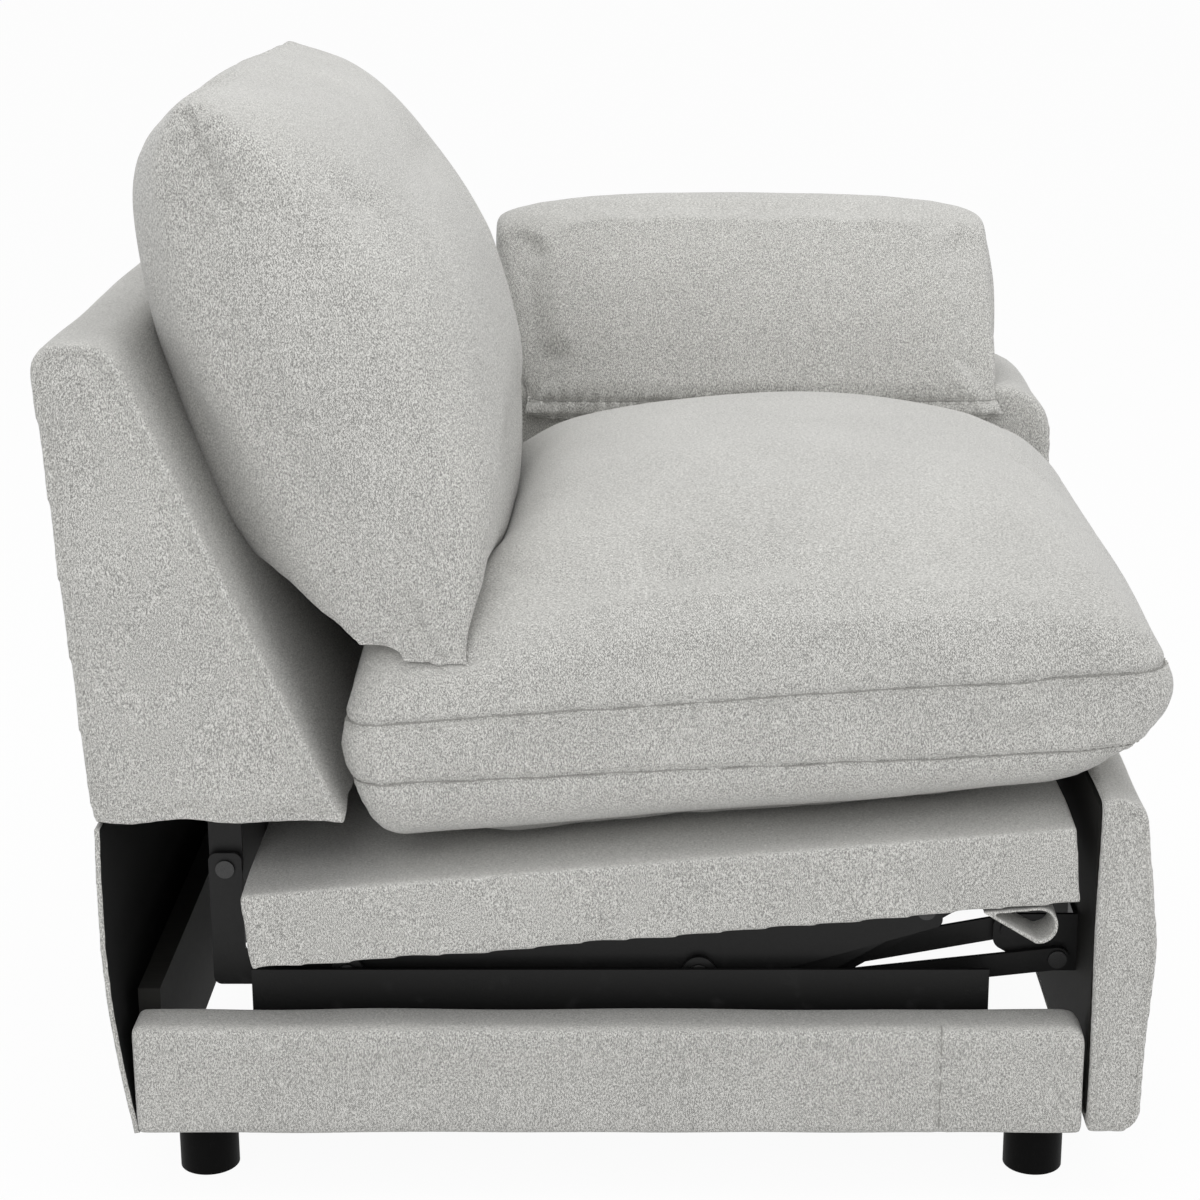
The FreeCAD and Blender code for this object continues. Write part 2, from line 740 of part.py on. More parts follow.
# Low-voltage inlet on the inside of the rear board, with its socket facing the floor
inlet_corner = (-s.inlet_width / 2, board_y - s.inlet_depth, p.tube_z)
inlet_block = box("inlet_block", ("inlet_width", "inlet_depth", "inlet_height"), inlet_corner)
inlet_start = (0, inlet_corner[1] + s.inlet_depth / 2, p.tube_z)
inlet_socket = rod("inlet_socket", "inlet_bore", "inlet_bore_depth", inlet_start, (0, 0, 1))
node(cut("inlet_bored", inlet_block, inlet_socket), "power_inlet")

# Seat box, pitched up at the front: board frame, webbing and a deck cover
pitch = Rotation(Vector(1, 0, 0), -s.seat_pitch)
seat_origin = Vector(p.seat_near_x, p.seat_rear_y, p.seat_rear_z)


def on_seat(across, forward, up):
    """A point of the seat box from distances across, forward and up from its rear corner."""
    return seat_origin + pitch.multVec(Vector(across, -forward, up))


def seat_point(forward, up):
    """The same point as (reach, height)."""
    point = on_seat(0, forward, up)
    return (-point.y, point.z)


def seat_box(name, size, across, forward, up):
    """A box of the pitched seat, from its near rear lower corner."""
    return box(name, size, on_seat(across, p.seat_box_length - forward, up), pitch)


wrap = s.seat_cover_thickness
inner_width = "seat_width - 2 * seat_cover_thickness"
inner_length = "seat_box_length - 2 * seat_cover_thickness"
deck_height = "seat_box_height - seat_deck_thickness"
frame_height = deck_height + " - webbing_thickness"
seat_outer = seat_box("seat_outer", ("seat_width", "seat_box_length", "seat_box_height"), 0, 0, 0)
seat_inner = seat_box("seat_inner", (inner_width, inner_length, deck_height), wrap, wrap, 0)
node(cut("seat_cover_tray", seat_outer, seat_inner), "seat_box_cover")
seat_block = seat_box("seat_block", (inner_width, inner_length, frame_height), wrap, wrap, 0)
seat_window = seat_box(
    "seat_window",
    (inner_width + " - 2 * seat_side_member", inner_length + " - 2 * seat_cross_member", frame_height),
    wrap + lengths["seat_side_member"],
    wrap + s.seat_cross_member,
    0,
)
node(cut("seat_frame_ring", seat_block, seat_window), "seat_frame")

web_start = wrap + lengths["seat_side_member"]
web_run = p.seat_width - 2 * web_start - s.webbing_width
web_lift = s.seat_box_height - s.seat_deck_thickness - s.webbing_thickness
straps = [
    seat_box(
        f"strap_{index}",
        ("webbing_width", inner_length, "webbing_thickness"),
        web_start + web_run * index / (s.webbing_count - 1),
        wrap,
        web_lift,
    )
    for index in range(int(s.webbing_count))
]
node(fuse("webbing_straps", straps), "seat_webbing")

# Rolled tails of the deck cover, one on each side under the front of the seat box
roll_half = s.roll_diameter / 2
roll_front_reach = half_depth - s.roll_setback


def under_seat(reach, drop):
    """A point at a reach, a drop below the underside of the seat box."""
    return (reach, seat_point(reach + p.seat_rear_y, 0)[1] - drop)


def roll_edge(inset):
    """A teardrop loop under the seat box: two lines from its tip and an arc around its end."""
    center = under_seat(roll_front_reach - roll_half, roll_half)
    tip = under_seat(center[0] - s.roll_tail * (1 - inset / roll_half), inset)
    radius = roll_half - inset
    top = polar(center, 90 + s.seat_pitch, radius)
    front = polar(center, 0, radius)
    low = polar(center, -90 - s.seat_pitch, radius)
    return tip, top, front, low


def roll_face(inset):
    tip, top, front, low = [Vector(0, -reach, z) for reach, z in roll_edge(inset)]
    edges = [
        Part.LineSegment(tip, top).toShape(),
        Part.Arc(top, front, low).toShape(),
        Part.LineSegment(low, tip).toShape(),
    ]
    return Part.Face(Part.Wire(edges))


roll_solids = []
for x in (p.seat_near_x, p.seat_near_x + p.seat_width - s.roll_length):
    strip = roll_face(0).extrude(Vector(s.roll_length, 0, 0))
    hollow = roll_face(s.roll_thickness).extrude(Vector(s.roll_length, 0, 0))
    roll = strip.cut(hollow)
    roll.translate(Vector(x, 0, -s.collar_clearance))
    roll_solids.append(roll)
rolls = doc.addObject("Part::Feature", "cover_rolls")
rolls.Shape = Part.makeCompound(roll_solids)
node(rolls, "cover_rolls")

# Seat plates: one each side, bolted inside the seat frame and reaching back to the back hinge
boss = s.boss_diameter / 2
bend = s.plate_corner_radius
shoulder_reach = rear_swing_top[0] + 3 * boss
plate_outline = [
    (front_swing_top[0] + 2 * boss, front_swing_top[1] - boss, bend),
    (control_pivot[0] + boss, control_pivot[1] - boss, bend),
    (control_pivot[0] + boss, control_pivot[1] + 3 * boss, bend),
    (*under_seat(shoulder_reach, -3 * boss), bend),
    (shoulder_reach, rear_swing_top[1] + boss, bend),
    (back_hinge[0] + boss, rear_swing_top[1] + boss, bend),
    (back_hinge[0] + boss, back_hinge[1] + boss, bend),
    (back_hinge[0] - boss, back_hinge[1] + boss, bend),
    (back_hinge[0] - boss, rear_swing_top[1] - boss, bend),
]
for side in SIDES:
    label = "seat_plate_" + side
    blank = profile(label + "_blank", plate_outline, "plate_thickness", layer_x(side, SEAT_PLATE))
    holes = [
        (*front_swing_top, FIXED_HOLE),
        (*rear_swing_top, FIXED_HOLE),
        (*control_pivot, FIXED_HOLE),
        (*back_hinge, FIXED_HOLE),
    ]
    node(drill(label + "_drilled", blank, side, SEAT_PLATE, holes), label)
rivets("seat_pivot_pins", [
    (SEAT_PLATE, SWING, front_swing_top),
    (SEAT_PLATE, SWING, rear_swing_top),
    (SEAT_PLATE, CONTROL, control_pivot),
    (SEAT_PLATE, CONTROL, back_hinge),
])

# Brackets that hang the drive tube from the front member of the seat frame
front_member_forward = p.seat_box_length - wrap - s.seat_cross_member
curve = s.boss_corner_radius
top_front = seat_point(front_member_forward, s.hanger_rise)
hanger_outline = [
    (drive_pivot[0] - boss, drive_pivot[1] - boss, curve),
    (drive_pivot[0] + boss, drive_pivot[1] - boss, curve),
    (*seat_point(front_member_forward, 0), 0),
    (*top_front, 0),
    (drive_pivot[0] - boss, top_front[1], curve),
]
for side in SIDES:
    label = "drive_bracket_" + side
    x = layer_x(side, TILT)
    web = profile(label + "_web", hanger_outline, "plate_thickness", x)
    ear_x = x + s.plate_thickness if side == "near" else x - s.boss_diameter
    ear = box(label + "_ear", ("boss_diameter", "plate_thickness", "hanger_ear_height"),
              on_seat(ear_x - p.seat_near_x, front_member_forward, 0), pitch)
    hanger = fuse(label + "_hanger", [web, ear])
    journal_hole = (*drive_pivot, "drive_journal_diameter + 2 * pin_clearance")
    node(drill(label + "_drilled", hanger, side, TILT, [journal_hole]), label)

# Drive tube: a barrel and a journal on each side, joined by a crank with two webs
drive_y = -drive_pivot[0]
crank_turn = Rotation(Vector(1, 0, 0), -s.crank_start_angle)
drive_pieces = []
for side in SIDES:
    step = inward(side)
    web_x = seat_center_x - step * crank_gap
    link_x = layer_x(side, DRIVE) + (0 if side == "near" else s.plate_thickness)
    barrel = rod(f"drive_barrel_{side}", "drive_tube_diameter", "barrel_length",
                 (web_x, drive_y, drive_pivot[1]), (-step, 0, 0))
    journal = rod(f"drive_journal_{side}", "drive_journal_diameter",
                  "layer_pitch + plate_thickness + collar_clearance",
                  (link_x, drive_y, drive_pivot[1]), (step, 0, 0))
    low_x = web_x - (s.crank_thickness if side == "near" else 0)
    web_corner = crank_turn.multVec(Vector(0, -s.crank_radius, -s.bar_width / 2))
    web = box(f"crank_web_{side}", ("crank_thickness", "crank_radius", "bar_width"),
              Vector(low_x, drive_y, drive_pivot[1]) + web_corner, crank_turn)
    hub = rod(f"crank_hub_{side}", "boss_diameter", "crank_thickness",
              (low_x, drive_y, drive_pivot[1]), (1, 0, 0))
    eye = rod(f"crank_eye_{side}", "bar_width", "crank_thickness",
              (low_x, -crank_tip[0], crank_tip[1]), (1, 0, 0))
    drive_pieces += [barrel, journal, web, hub, eye]
drive_pieces.append(rod(
    "crank_pin", "crank_pin_diameter", "yoke_thickness + 2 * yoke_gap + 2 * crank_thickness",
    (seat_center_x - crank_gap - s.crank_thickness, -crank_tip[0], crank_tip[1]), (1, 0, 0)))
node(fuse("drive_tube_joined", drive_pieces), "drive_tube")

# Footrest links on both sides
for side in SIDES:
    label = "drive_link_" + side
    arm = bar(label + "_arm", side, DRIVE, "drive_span", drive_pivot, knee_pivot)
    horn = bar(label + "_horn", side, DRIVE, "horn_span", knee_pivot, tilt_pivot)
    drive_holes = [
        (*drive_pivot, "drive_journal_diameter"),
        (*knee_pivot, FIXED_HOLE),
        (*tilt_pivot, FIXED_HOLE),
    ]
    node(drill(label + "_drilled", fuse(label + "_plate", [arm, horn]), side, DRIVE, drive_holes), label)
    link_bar("control_link_" + side, side, CONTROL, "control_span", [
        (*control_pivot, RUNNING_HOLE),
        (*tail_pivot, "pin_diameter + 2 * open_pivot_clearance"),
    ])
    link_bar("footrest_link_" + side, side, FOOTREST, "footrest_span", [
        (*tail_pivot, FIXED_HOLE),
        (*knee_pivot, RUNNING_HOLE),
        (*foot_pivot, FIXED_HOLE),
    ])
    link_bar("tilt_link_" + side, side, TILT, "tilt_span", [
        (*tilt_pivot, RUNNING_HOLE),
        (*tilt_foot_pivot, "pin_diameter + 2 * open_pivot_clearance"),
    ])

rivets("drive_link_pins", [(DRIVE, FOOTREST, knee_pivot), (DRIVE, TILT, tilt_pivot)])
rivets("footrest_link_pins", [(FOOTREST, CONTROL, tail_pivot), (FOOTREST, DRIVE, foot_pivot)])

# Footrest: brackets, board and padded cover
panel_top = p.panel_bottom_z + s.footrest_height
panel_front_reach = p.panel_inner_reach + s.footrest_thickness
bracket_outline = [
    (p.panel_inner_reach, foot_pivot[1] - boss, 0),
    (p.panel_inner_reach, tilt_foot_pivot[1] + boss, 0),
    (tilt_foot_pivot[0] - boss, tilt_foot_pivot[1] + boss, curve),
    (tilt_foot_pivot[0] - boss, tilt_foot_pivot[1] - boss, curve),
    (foot_pivot[0] - boss, foot_pivot[1] - boss, bend),
]
for side in SIDES:
    label = "footrest_bracket_" + side
    x = layer_x(side, DRIVE)
    web = profile(label + "_web", bracket_outline, "plate_thickness", x)
    ear_x = x + s.plate_thickness if side == "near" else x - s.boss_diameter
    ear_corner = (ear_x, -p.panel_inner_reach, foot_pivot[1] - boss)
    ear = box(label + "_ear", ("boss_diameter", "plate_thickness", "bracket_height"), ear_corner)
    drilled = drill(label + "_drilled", fuse(label + "_angle", [web, ear]), side, DRIVE,
                    [(*foot_pivot, RUNNING_HOLE)])
    stud = rivet(label + "_stud", side, DRIVE, TILT, tilt_foot_pivot)
    node(fuse(label + "_welded", [drilled, stud]), label)

footrest_x = p.near_x + s.cushion_side_gap
board_size = (
    "footrest_width - 2 * footrest_board_margin",
    "footrest_board_thickness",
    "footrest_height - 2 * footrest_board_margin",
)
board_corner = (
    footrest_x + s.footrest_board_margin,
    -p.panel_inner_reach - s.footrest_board_thickness,
    p.panel_bottom_z + s.footrest_board_margin,
)
node(box("footrest_wood", board_size, board_corner), "footrest_board")
pad_outline = [
    (p.panel_inner_reach, p.panel_bottom_z, 0),
    (panel_front_reach - s.footrest_foot_setback, p.panel_bottom_z, s.footrest_foot_radius),
    (panel_front_reach, p.panel_bottom_z + s.footrest_belly_rise, s.footrest_belly_radius),
    (panel_front_reach - s.footrest_head_setback, panel_top, s.footrest_head_radius),
    (p.panel_inner_reach, panel_top, s.footrest_rear_radius),
]
pad_blank = profile("footrest_pad_blank", pad_outline, "footrest_width", footrest_x)
board_cavity = box("footrest_board_cavity", board_size, board_corner)
node(cut("footrest_pad_hollow", pad_blank, board_cavity), "footrest_pad")

# Tube across the seat plates that carries the actuator
seat_tube = rod("seat_tube_round", "seat_tube_diameter", "seat_tube_length",
                (seat_tube_x, -seat_tube_center[0], seat_tube_center[1]), (1, 0, 0))
node(seat_tube, "seat_cross_tube")

# Gearbox clamped on that tube, with the motor at its side
gearbox_top = seat_tube_center[1] + s.seat_tube_diameter
gearbox_corner = (seat_center_x - s.gearbox_width / 2, -gearbox_front, gearbox_top - s.gearbox_height)
gearbox = box("gearbox_case", ("gearbox_width", "gearbox_length", "gearbox_height"), gearbox_corner)
clamp = rod("gearbox_clamp", "seat_tube_diameter", "gearbox_width",
            (gearbox_corner[0], -seat_tube_center[0], seat_tube_center[1]), (1, 0, 0))
under_tube = seat_tube_center[1] - s.seat_tube_diameter / 2 - s.collar_clearance
motor_z = under_tube - s.motor_diameter / 2
motor = rod("motor_can", "motor_diameter", "motor_length",
            (gearbox_corner[0] + s.gearbox_width, -seat_tube_center[0], motor_z), (1, 0, 0))
node(cut("gearbox_bored", fuse("gearbox_and_motor", [gearbox, motor]), clamp), "gear_motor")

# Track channel, open at the top, with the lead screw inside
yoke_low = drive_pivot[1] - s.crank_radius - s.crank_pin_diameter / 2 - s.yoke_margin
track_top = yoke_low - s.yoke_margin - s.track_drop / 2
track_z = track_top - s.track_side
track_x = seat_center_x - s.track_side / 2
track_solid = box("track_solid", ("track_side", "track_length", "track_side"), (track_x, -track_front, track_z))
track_bore = box("track_bore", ("track_side - 2 * track_wall", "track_length", "track_side"),
                 (track_x + s.track_wall, -track_front, track_z + s.track_wall))
node(cut("track_channel", track_solid, track_bore), "actuator_track")

screw_z = track_z + s.track_side / 2
screw = rod("screw_round", "screw_diameter", "track_length",
            (seat_center_x, -gearbox_front, screw_z), (0, -1, 0))
node(screw, "lead_screw")

# Carriage: a nut on the screw and a plate forward to the slotted yoke around the crank pin
slot_half = s.yoke_slot_width / 2
yoke_half = slot_half + s.yoke_margin
yoke_top = crank_tip[1] + s.crank_pin_diameter / 2 + s.yoke_margin
nut_inset = s.track_wall + s.slide_clearance
nut_corner = (track_x + nut_inset, -nut_reach - s.nut_length / 2, track_z + nut_inset)
nut = box("nut_block",
          ("track_side - 2 * track_wall - 2 * slide_clearance", "nut_length",
           "track_side - track_wall - slide_clearance"), nut_corner)
nut_bore = rod("nut_bore", "screw_diameter + 2 * slide_clearance", "nut_length",
               (seat_center_x, nut_corner[1], screw_z), (0, 1, 0))
nut_bored = cut("nut_bored", nut, nut_bore)
arm_rear = nut_reach - s.nut_length / 2
yoke_outline = [
    (arm_rear, track_top, 0),
    (crank_tip[0] + yoke_half, track_top, s.yoke_margin),
    (crank_tip[0] + yoke_half, yoke_top, s.yoke_margin),
    (crank_tip[0] - yoke_half, yoke_top, s.yoke_margin),
    (crank_tip[0] - yoke_half, yoke_low, s.yoke_margin / 2),
    (arm_rear, yoke_low, 0),
]
slot_outline = [
    (crank_tip[0] - slot_half, yoke_low, slot_half / 3),
    (crank_tip[0] + slot_half, yoke_low, slot_half / 3),
    (crank_tip[0] + slot_half, yoke_top - s.yoke_margin / 2, slot_half / 3),
    (crank_tip[0] - slot_half, yoke_top - s.yoke_margin / 2, slot_half / 3),
]
yoke_x = seat_center_x - s.yoke_thickness / 2
yoke_plate = profile("yoke_plate", yoke_outline, "yoke_thickness", yoke_x)
yoke_slot = profile("yoke_slot", slot_outline, "yoke_thickness", yoke_x)
yoke = cut("yoke_slotted", yoke_plate, yoke_slot)
node(fuse("carriage_joined", [nut_bored, yoke]), "drive_carriage")

# Back: a wedge-shaped padded cover, open below, over two posts and three rails
back_front_bottom = -back_rear_bottom_y + s.back_lower_depth
back_top_z = back_bottom_z + s.back_height
rear_lean = math.atan2(s.back_rear_lean, s.back_height)
round_loss = s.back_top_radius * (math.tan(rear_lean) + 1 / math.cos(rear_lean) - 1)
back_corners = [
    (back_front_bottom, back_bottom_z, 0),
    (-half_depth + s.back_top_depth, back_top_z, s.back_top_radius),
    (-half_depth - round_loss, back_top_z, s.back_top_radius),
    (-back_rear_bottom_y, back_bottom_z, 0),
]


def back_front_reach(z):
    """The reach of the back's sloping front face at a height."""
    slope = (-half_depth + s.back_top_depth - back_front_bottom) / s.back_height
    return back_front_bottom + slope * (z - back_bottom_z)


def back_rear_reach(z):
    """The reach of the back's leaning rear face at a height."""
    return -back_rear_bottom_y - s.back_rear_lean * (z - back_bottom_z) / s.back_height


wall = s.back_cover_thickness
cavity_top = back_top_z - wall
cavity_corners = [
    (back_front_reach(back_bottom_z) - wall, back_bottom_z, 0),
    (back_front_reach(cavity_top) - wall, cavity_top, wall),
    (back_rear_reach(cavity_top) + wall, cavity_top, wall),
    (back_rear_reach(back_bottom_z) + wall, back_bottom_z, 0),
]
cavity_width = "back_width - 2 * back_cover_thickness"
back_shell = profile("back_shell", back_corners, "back_width", p.seat_near_x)
back_cavity = profile("back_cavity", cavity_corners, cavity_width, p.seat_near_x + wall)
node(cut("back_cover_hollow", back_shell, back_cavity), "back_cover")

posts = [
    profile("back_post_near", cavity_corners, "back_post_width", post_near_x),
    profile("back_post_far", cavity_corners, "back_post_width", post_far_x),
]
rail_zone = profile("back_rail_zone", cavity_corners, "back_rail_length", post_near_x)
rail_levels = [
    back_bottom_z,
    (back_bottom_z + cavity_top - s.back_rail_height) / 2,
    cavity_top - s.back_rail_height,
]
rail_slabs = [
    box(f"back_rail_slab_{index}", ("overall_width", "overall_depth", "back_rail_height"),
        (-half_width, -half_depth, z))
    for index, z in enumerate(rail_levels)
]
rails = doc.addObject("Part::MultiCommon", "back_rails")
rails.Shapes = [rail_zone, fuse("back_rail_slabs", rail_slabs)]
node(fuse("back_frame_joined", [*posts, rails]), "back_frame")

bracket_half = s.back_bracket_width / 2
for side in SIDES:
    label = "back_bracket_" + side
    bracket_outline = [
        (back_hinge[0] - bracket_half, back_hinge[1] - bracket_half, curve),
        (back_hinge[0] + bracket_half, back_hinge[1] - bracket_half, curve),
        (back_hinge[0] + bracket_half, back_bottom_z + s.back_bracket_rise, bend),
        (back_hinge[0] - bracket_half, back_bottom_z + s.back_bracket_rise, bend),
    ]
    blank = profile(label + "_blank", bracket_outline, "plate_thickness", layer_x(side, CONTROL))
    node(drill(label + "_drilled", blank, side, CONTROL, [(*back_hinge, RUNNING_HOLE)]), label)


def closed_section(across, points, bows):
    """One wire around points of a section: each side is an arc bowed out by its bow, or straight."""
    edges = []
    for index, (start, bow) in enumerate(zip(points, bows)):
        end = points[(index + 1) % len(points)]
        if bow:
            middle = (start + end) * 0.5 + across.cross(end - start).normalize() * bow
            edges.append(Part.Arc(start, middle, end).toShape())
        else:
            edges.append(Part.LineSegment(start, end).toShape())
    return Part.Wire(edges)


def cushion(label, sections):
    """A soft solid lofted from each section straight to the next."""
    soft = doc.addObject("Part::Feature", label + "_loft")
    soft.Shape = Part.makeLoft(sections, True, True)
    return node(soft, label)


# Fullness of a cushion's very edge, and the shares of the way from its edge to its middle
# where its sections stand
edge_swell = 0.06
edge_shares = (0, 0.03, 0.09, 0.2, 0.4, 0.65)
box_roundness = 2
belly_fill = 0.6
pillow_roundness = 3


def swell(share, roundness=box_roundness):
    """How full a stuffed cover is at a share of the way from its edge to its middle."""
    return edge_swell + (1 - edge_swell) * (1 - (1 - share) ** 3) ** (1 / roundness)


def section_stations(start, end):
    """Pairs of a place between two ends and its share of the way from edge to middle."""
    half = (end - start) / 2
    rising = [(start + half * share, share) for share in edge_shares]
    falling = [(end - half * share, share) for share in reversed(edge_shares)]
    return [*rising, (start + half, 1), *falling]


# Seat cushion: a crowned box cushion with a stitched band around its edge
band_up = s.seat_box_height + s.cushion_band_height
deck_up = s.seat_box_height + s.cushion_seat_gap
full_rise = s.seat_box_height + s.cushion_thickness - band_up
full_drop = band_up - deck_up
band_half = s.cushion_band / 2
cushion_rear = s.cushion_rear_setback
pitch_turn = math.radians(s.seat_pitch)
nose_lean = band_up * math.sin(pitch_turn)
cushion_nose = (p.seat_rear_y + nose_lean + half_depth) / math.cos(pitch_turn)


def cushion_section(x, fullness, tuck):
    """The cushion's outline at x: fullness swells it from its band, tuck draws in its ends."""
    rise = band_half + (full_rise - band_half) * fullness
    belly = fullness ** belly_fill
    drop = band_half + (full_drop - band_half) * belly
    rear = cushion_rear + tuck
    nose = cushion_nose - tuck
    crown = s.cushion_shoulder_drop * fullness

    def at(forward, up):
        return on_seat(x - p.seat_near_x, forward, up)

    points = [
        at(nose - s.cushion_nose_undercut * belly, band_up - drop),
        at(nose, band_up),
        at(nose - s.cushion_nose_shoulder * fullness, band_up + rise - crown),
        at(rear + s.cushion_rear_shoulder * fullness, band_up + rise - crown),
        at(rear, band_up),
        at(rear + s.cushion_rear_undercut * belly, band_up - drop),
    ]
    nose_low = s.cushion_nose_low_bow * fullness
    rear_low = s.cushion_rear_low_bow * fullness
    edge = s.cushion_edge_bow * fullness
    return closed_section(Vector(1, 0, 0), points, [nose_low, edge, crown, edge, rear_low, 0])


cushion_near_x = p.near_x + s.cushion_side_gap
cushion_far_x = p.seat_near_x + p.seat_width - s.cushion_far_gap
cushion("seat_cushion", [
    cushion_section(x, swell(share), s.cushion_tuck * (1 - swell(share)))
    for x, share in section_stations(cushion_near_x, cushion_far_x)
])

# Back cushion: a plump pillow on the sloping front of the back, with ears at its corners
pillow_low = back_bottom_z + s.back_cushion_lift
pillow_top = s.overall_height


def edge_line(z):
    """Where the pillow's thin end stands at a height, level with the slope of the back."""
    return -back_front_reach(z) - s.back_cushion_edge_offset


def back_section(x, fullness, corner_drop):
    """The pillow's outline at x: fullness fills its thin end out, corner_drop lowers its bottom edge."""
    low = pillow_low - corner_drop
    shoulder = pillow_top - s.back_cushion_shoulder_drop
    nape = pillow_top - s.back_cushion_nape_drop
    front_y = -back_front_reach(pillow_low) - s.back_cushion_depth
    rear_top_y = -back_front_reach(back_top_z) - s.back_cushion_gap
    half_edge = s.back_cushion_edge_thickness / 2

    outline = [
        (edge_line(low) + half_edge, -back_front_reach(low) - s.back_cushion_gap, low),
        (edge_line(low) - half_edge, front_y + s.back_cushion_foot_inset, low),
        (edge_line(shoulder) - half_edge, front_y + s.back_cushion_shoulder_inset, shoulder),
        (edge_line(pillow_top), rear_top_y - s.back_cushion_crest_inset, pillow_top),
        (edge_line(nape) + half_edge, rear_top_y, nape),
        (edge_line(back_top_z) + half_edge, rear_top_y, back_top_z),
    ]
    points = [Vector(x, thin + (full - thin) * fullness, z) for thin, full, z in outline]
    bows = [0, s.back_cushion_front_bow, s.back_cushion_top_bow, s.back_cushion_nape_bow, 0, 0]
    return closed_section(Vector(1, 0, 0), points, [bow * fullness for bow in bows])


pillow_near_x = p.seat_near_x + s.back_cushion_near_gap
pillow_far_x = p.seat_near_x + p.seat_width - s.back_cushion_far_gap
cushion("back_cushion", [
    back_section(x, swell(share, pillow_roundness), s.back_cushion_corner_drop * (1 - share) ** 6)
    for x, share in section_stations(pillow_near_x, pillow_far_x)
])

# Arm pillow: it sits on the arm and hangs a lip down the arm's inner side
lip_inner = p.arm_inner_x - s.pillow_clearance
lip_outer = lip_inner - s.pillow_lip_thickness
saddle = p.arm_top_z + s.pillow_clearance
pillow_front_y = -half_depth + s.pillow_front_setback


def arm_pillow_section(y, fullness):
    """The pillow's raked outline from y at its hem, from a flat end to its full crown."""
    top = saddle + s.pillow_end_height + (s.pillow_height - s.pillow_end_height) * fullness
    inset = s.pillow_end_inset * (1 - fullness)
    inner = lip_outer + inset
    outer = p.arm_outer_x - s.pillow_overhang_inset - inset
    low = saddle - s.pillow_lip
    shoulder = top - s.pillow_shoulder_drop
    rake = s.pillow_rake / (s.pillow_lip + s.pillow_height)

    outline = [
        (lip_inner, low),
        (inner, low),
        (inner, saddle),
        (inner + s.pillow_inner_lean, shoulder),
        (outer - s.pillow_outer_lean, shoulder),
        (outer - s.pillow_hem_inset, saddle),
        (lip_inner, saddle),
    ]
    points = [Vector(x, y + rake * (z - low), z) for x, z in outline]
    side = s.pillow_side_bow
    across = Vector(0, -1, rake)
    return closed_section(across, points, [0, 0, side, s.pillow_shoulder_drop, side, 0, 0])


cushion("arm_pillow", [
    arm_pillow_section(y, swell(share))
    for y, share in section_stations(pillow_front_y, pillow_front_y + s.pillow_length)
])

doc.recompute()

# A failed object or an unsound shape stops the build before anything is written
for item in doc.Objects:
    if "Invalid" in item.State or "Error" in item.State:
        raise RuntimeError(f"{item.Name} failed: {item.State}")
for item in nodes:
    if item.Shape.isNull() or not item.Shape.isValid():
        raise RuntimeError(f"{item.Label} has no valid shape")

os.makedirs("parts", exist_ok=True)
for item in nodes:
    item.Shape.exportStep(f"parts/{item.Label}.step")
    bounds = item.Shape.BoundBox
    print(f"{item.Label}: {len(item.Shape.Solids)} solids, {item.Shape.Volume / 1000:.0f} cm3, "
          f"x {bounds.XMin:.1f}..{bounds.XMax:.1f}, y {bounds.YMin:.1f}..{bounds.YMax:.1f}, "
          f"z {bounds.ZMin:.1f}..{bounds.ZMax:.1f}")
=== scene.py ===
# %% [markdown]
# # A one-arm power recliner, dressed in woven cloth
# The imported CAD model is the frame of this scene: its steel, timber and plastic stay as they are.
# Here each upholstered piece is made again as soft goods, and every surface gets its finish.

# %% Load the frame
import math
import random

import bmesh
import bpy
import numpy as np
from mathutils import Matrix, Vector, kdtree, noise
from mathutils.bvhtree import BVHTree


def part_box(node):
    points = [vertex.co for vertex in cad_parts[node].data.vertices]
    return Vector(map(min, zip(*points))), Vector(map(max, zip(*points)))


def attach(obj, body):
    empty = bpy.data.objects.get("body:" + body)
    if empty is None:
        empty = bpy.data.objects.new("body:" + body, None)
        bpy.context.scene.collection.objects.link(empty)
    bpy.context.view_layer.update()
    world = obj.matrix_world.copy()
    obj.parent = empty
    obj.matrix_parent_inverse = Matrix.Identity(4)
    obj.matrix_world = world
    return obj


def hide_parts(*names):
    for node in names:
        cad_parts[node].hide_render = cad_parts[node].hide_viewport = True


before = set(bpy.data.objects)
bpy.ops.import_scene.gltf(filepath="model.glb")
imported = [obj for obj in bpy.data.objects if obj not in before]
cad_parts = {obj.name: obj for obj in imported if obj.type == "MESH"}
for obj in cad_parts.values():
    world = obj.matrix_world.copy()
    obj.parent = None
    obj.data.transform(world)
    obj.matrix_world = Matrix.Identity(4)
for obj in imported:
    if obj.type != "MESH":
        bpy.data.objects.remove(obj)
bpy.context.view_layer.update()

# %% [markdown]
# ## Camera
# The chair is seen square on from its armless side, a little from above.
# A long lens keeps the side panels nearly flat, and a small sideways shift places the chair in the frame.

# %% Camera
LENS = 79.2
CAMERA_PLACE = (-2.588, -0.0355, 1.1983)
CAMERA_DIP = 16.5
CAMERA_SHIFT = -0.045

camera_data = bpy.data.cameras.new("camera")
camera_data.lens = LENS
camera_data.shift_x = CAMERA_SHIFT
camera = bpy.data.objects.new("camera", camera_data)
camera.location = CAMERA_PLACE
camera.rotation_euler = (math.radians(90 - CAMERA_DIP), 0, math.radians(-90))
bpy.context.scene.collection.objects.link(camera)
bpy.context.scene.camera = camera
bpy.context.scene.view_settings.view_transform = "Standard"
print("camera", tuple(camera.location))

# %% [markdown]
# ## Writing a finish as sums
# Shader graphs grow quickly, so a small class lets a finish be written as plain arithmetic.
# Every sum or product adds one Math node, and one function makes any other node.

# %% Shader arithmetic
def plug(tree, socket, term):
    """Links a value to a socket, or writes a plain number or colour into it."""
    if isinstance(term, Value):
        tree.links.new(term.socket, socket)
    else:
        socket.default_value = term


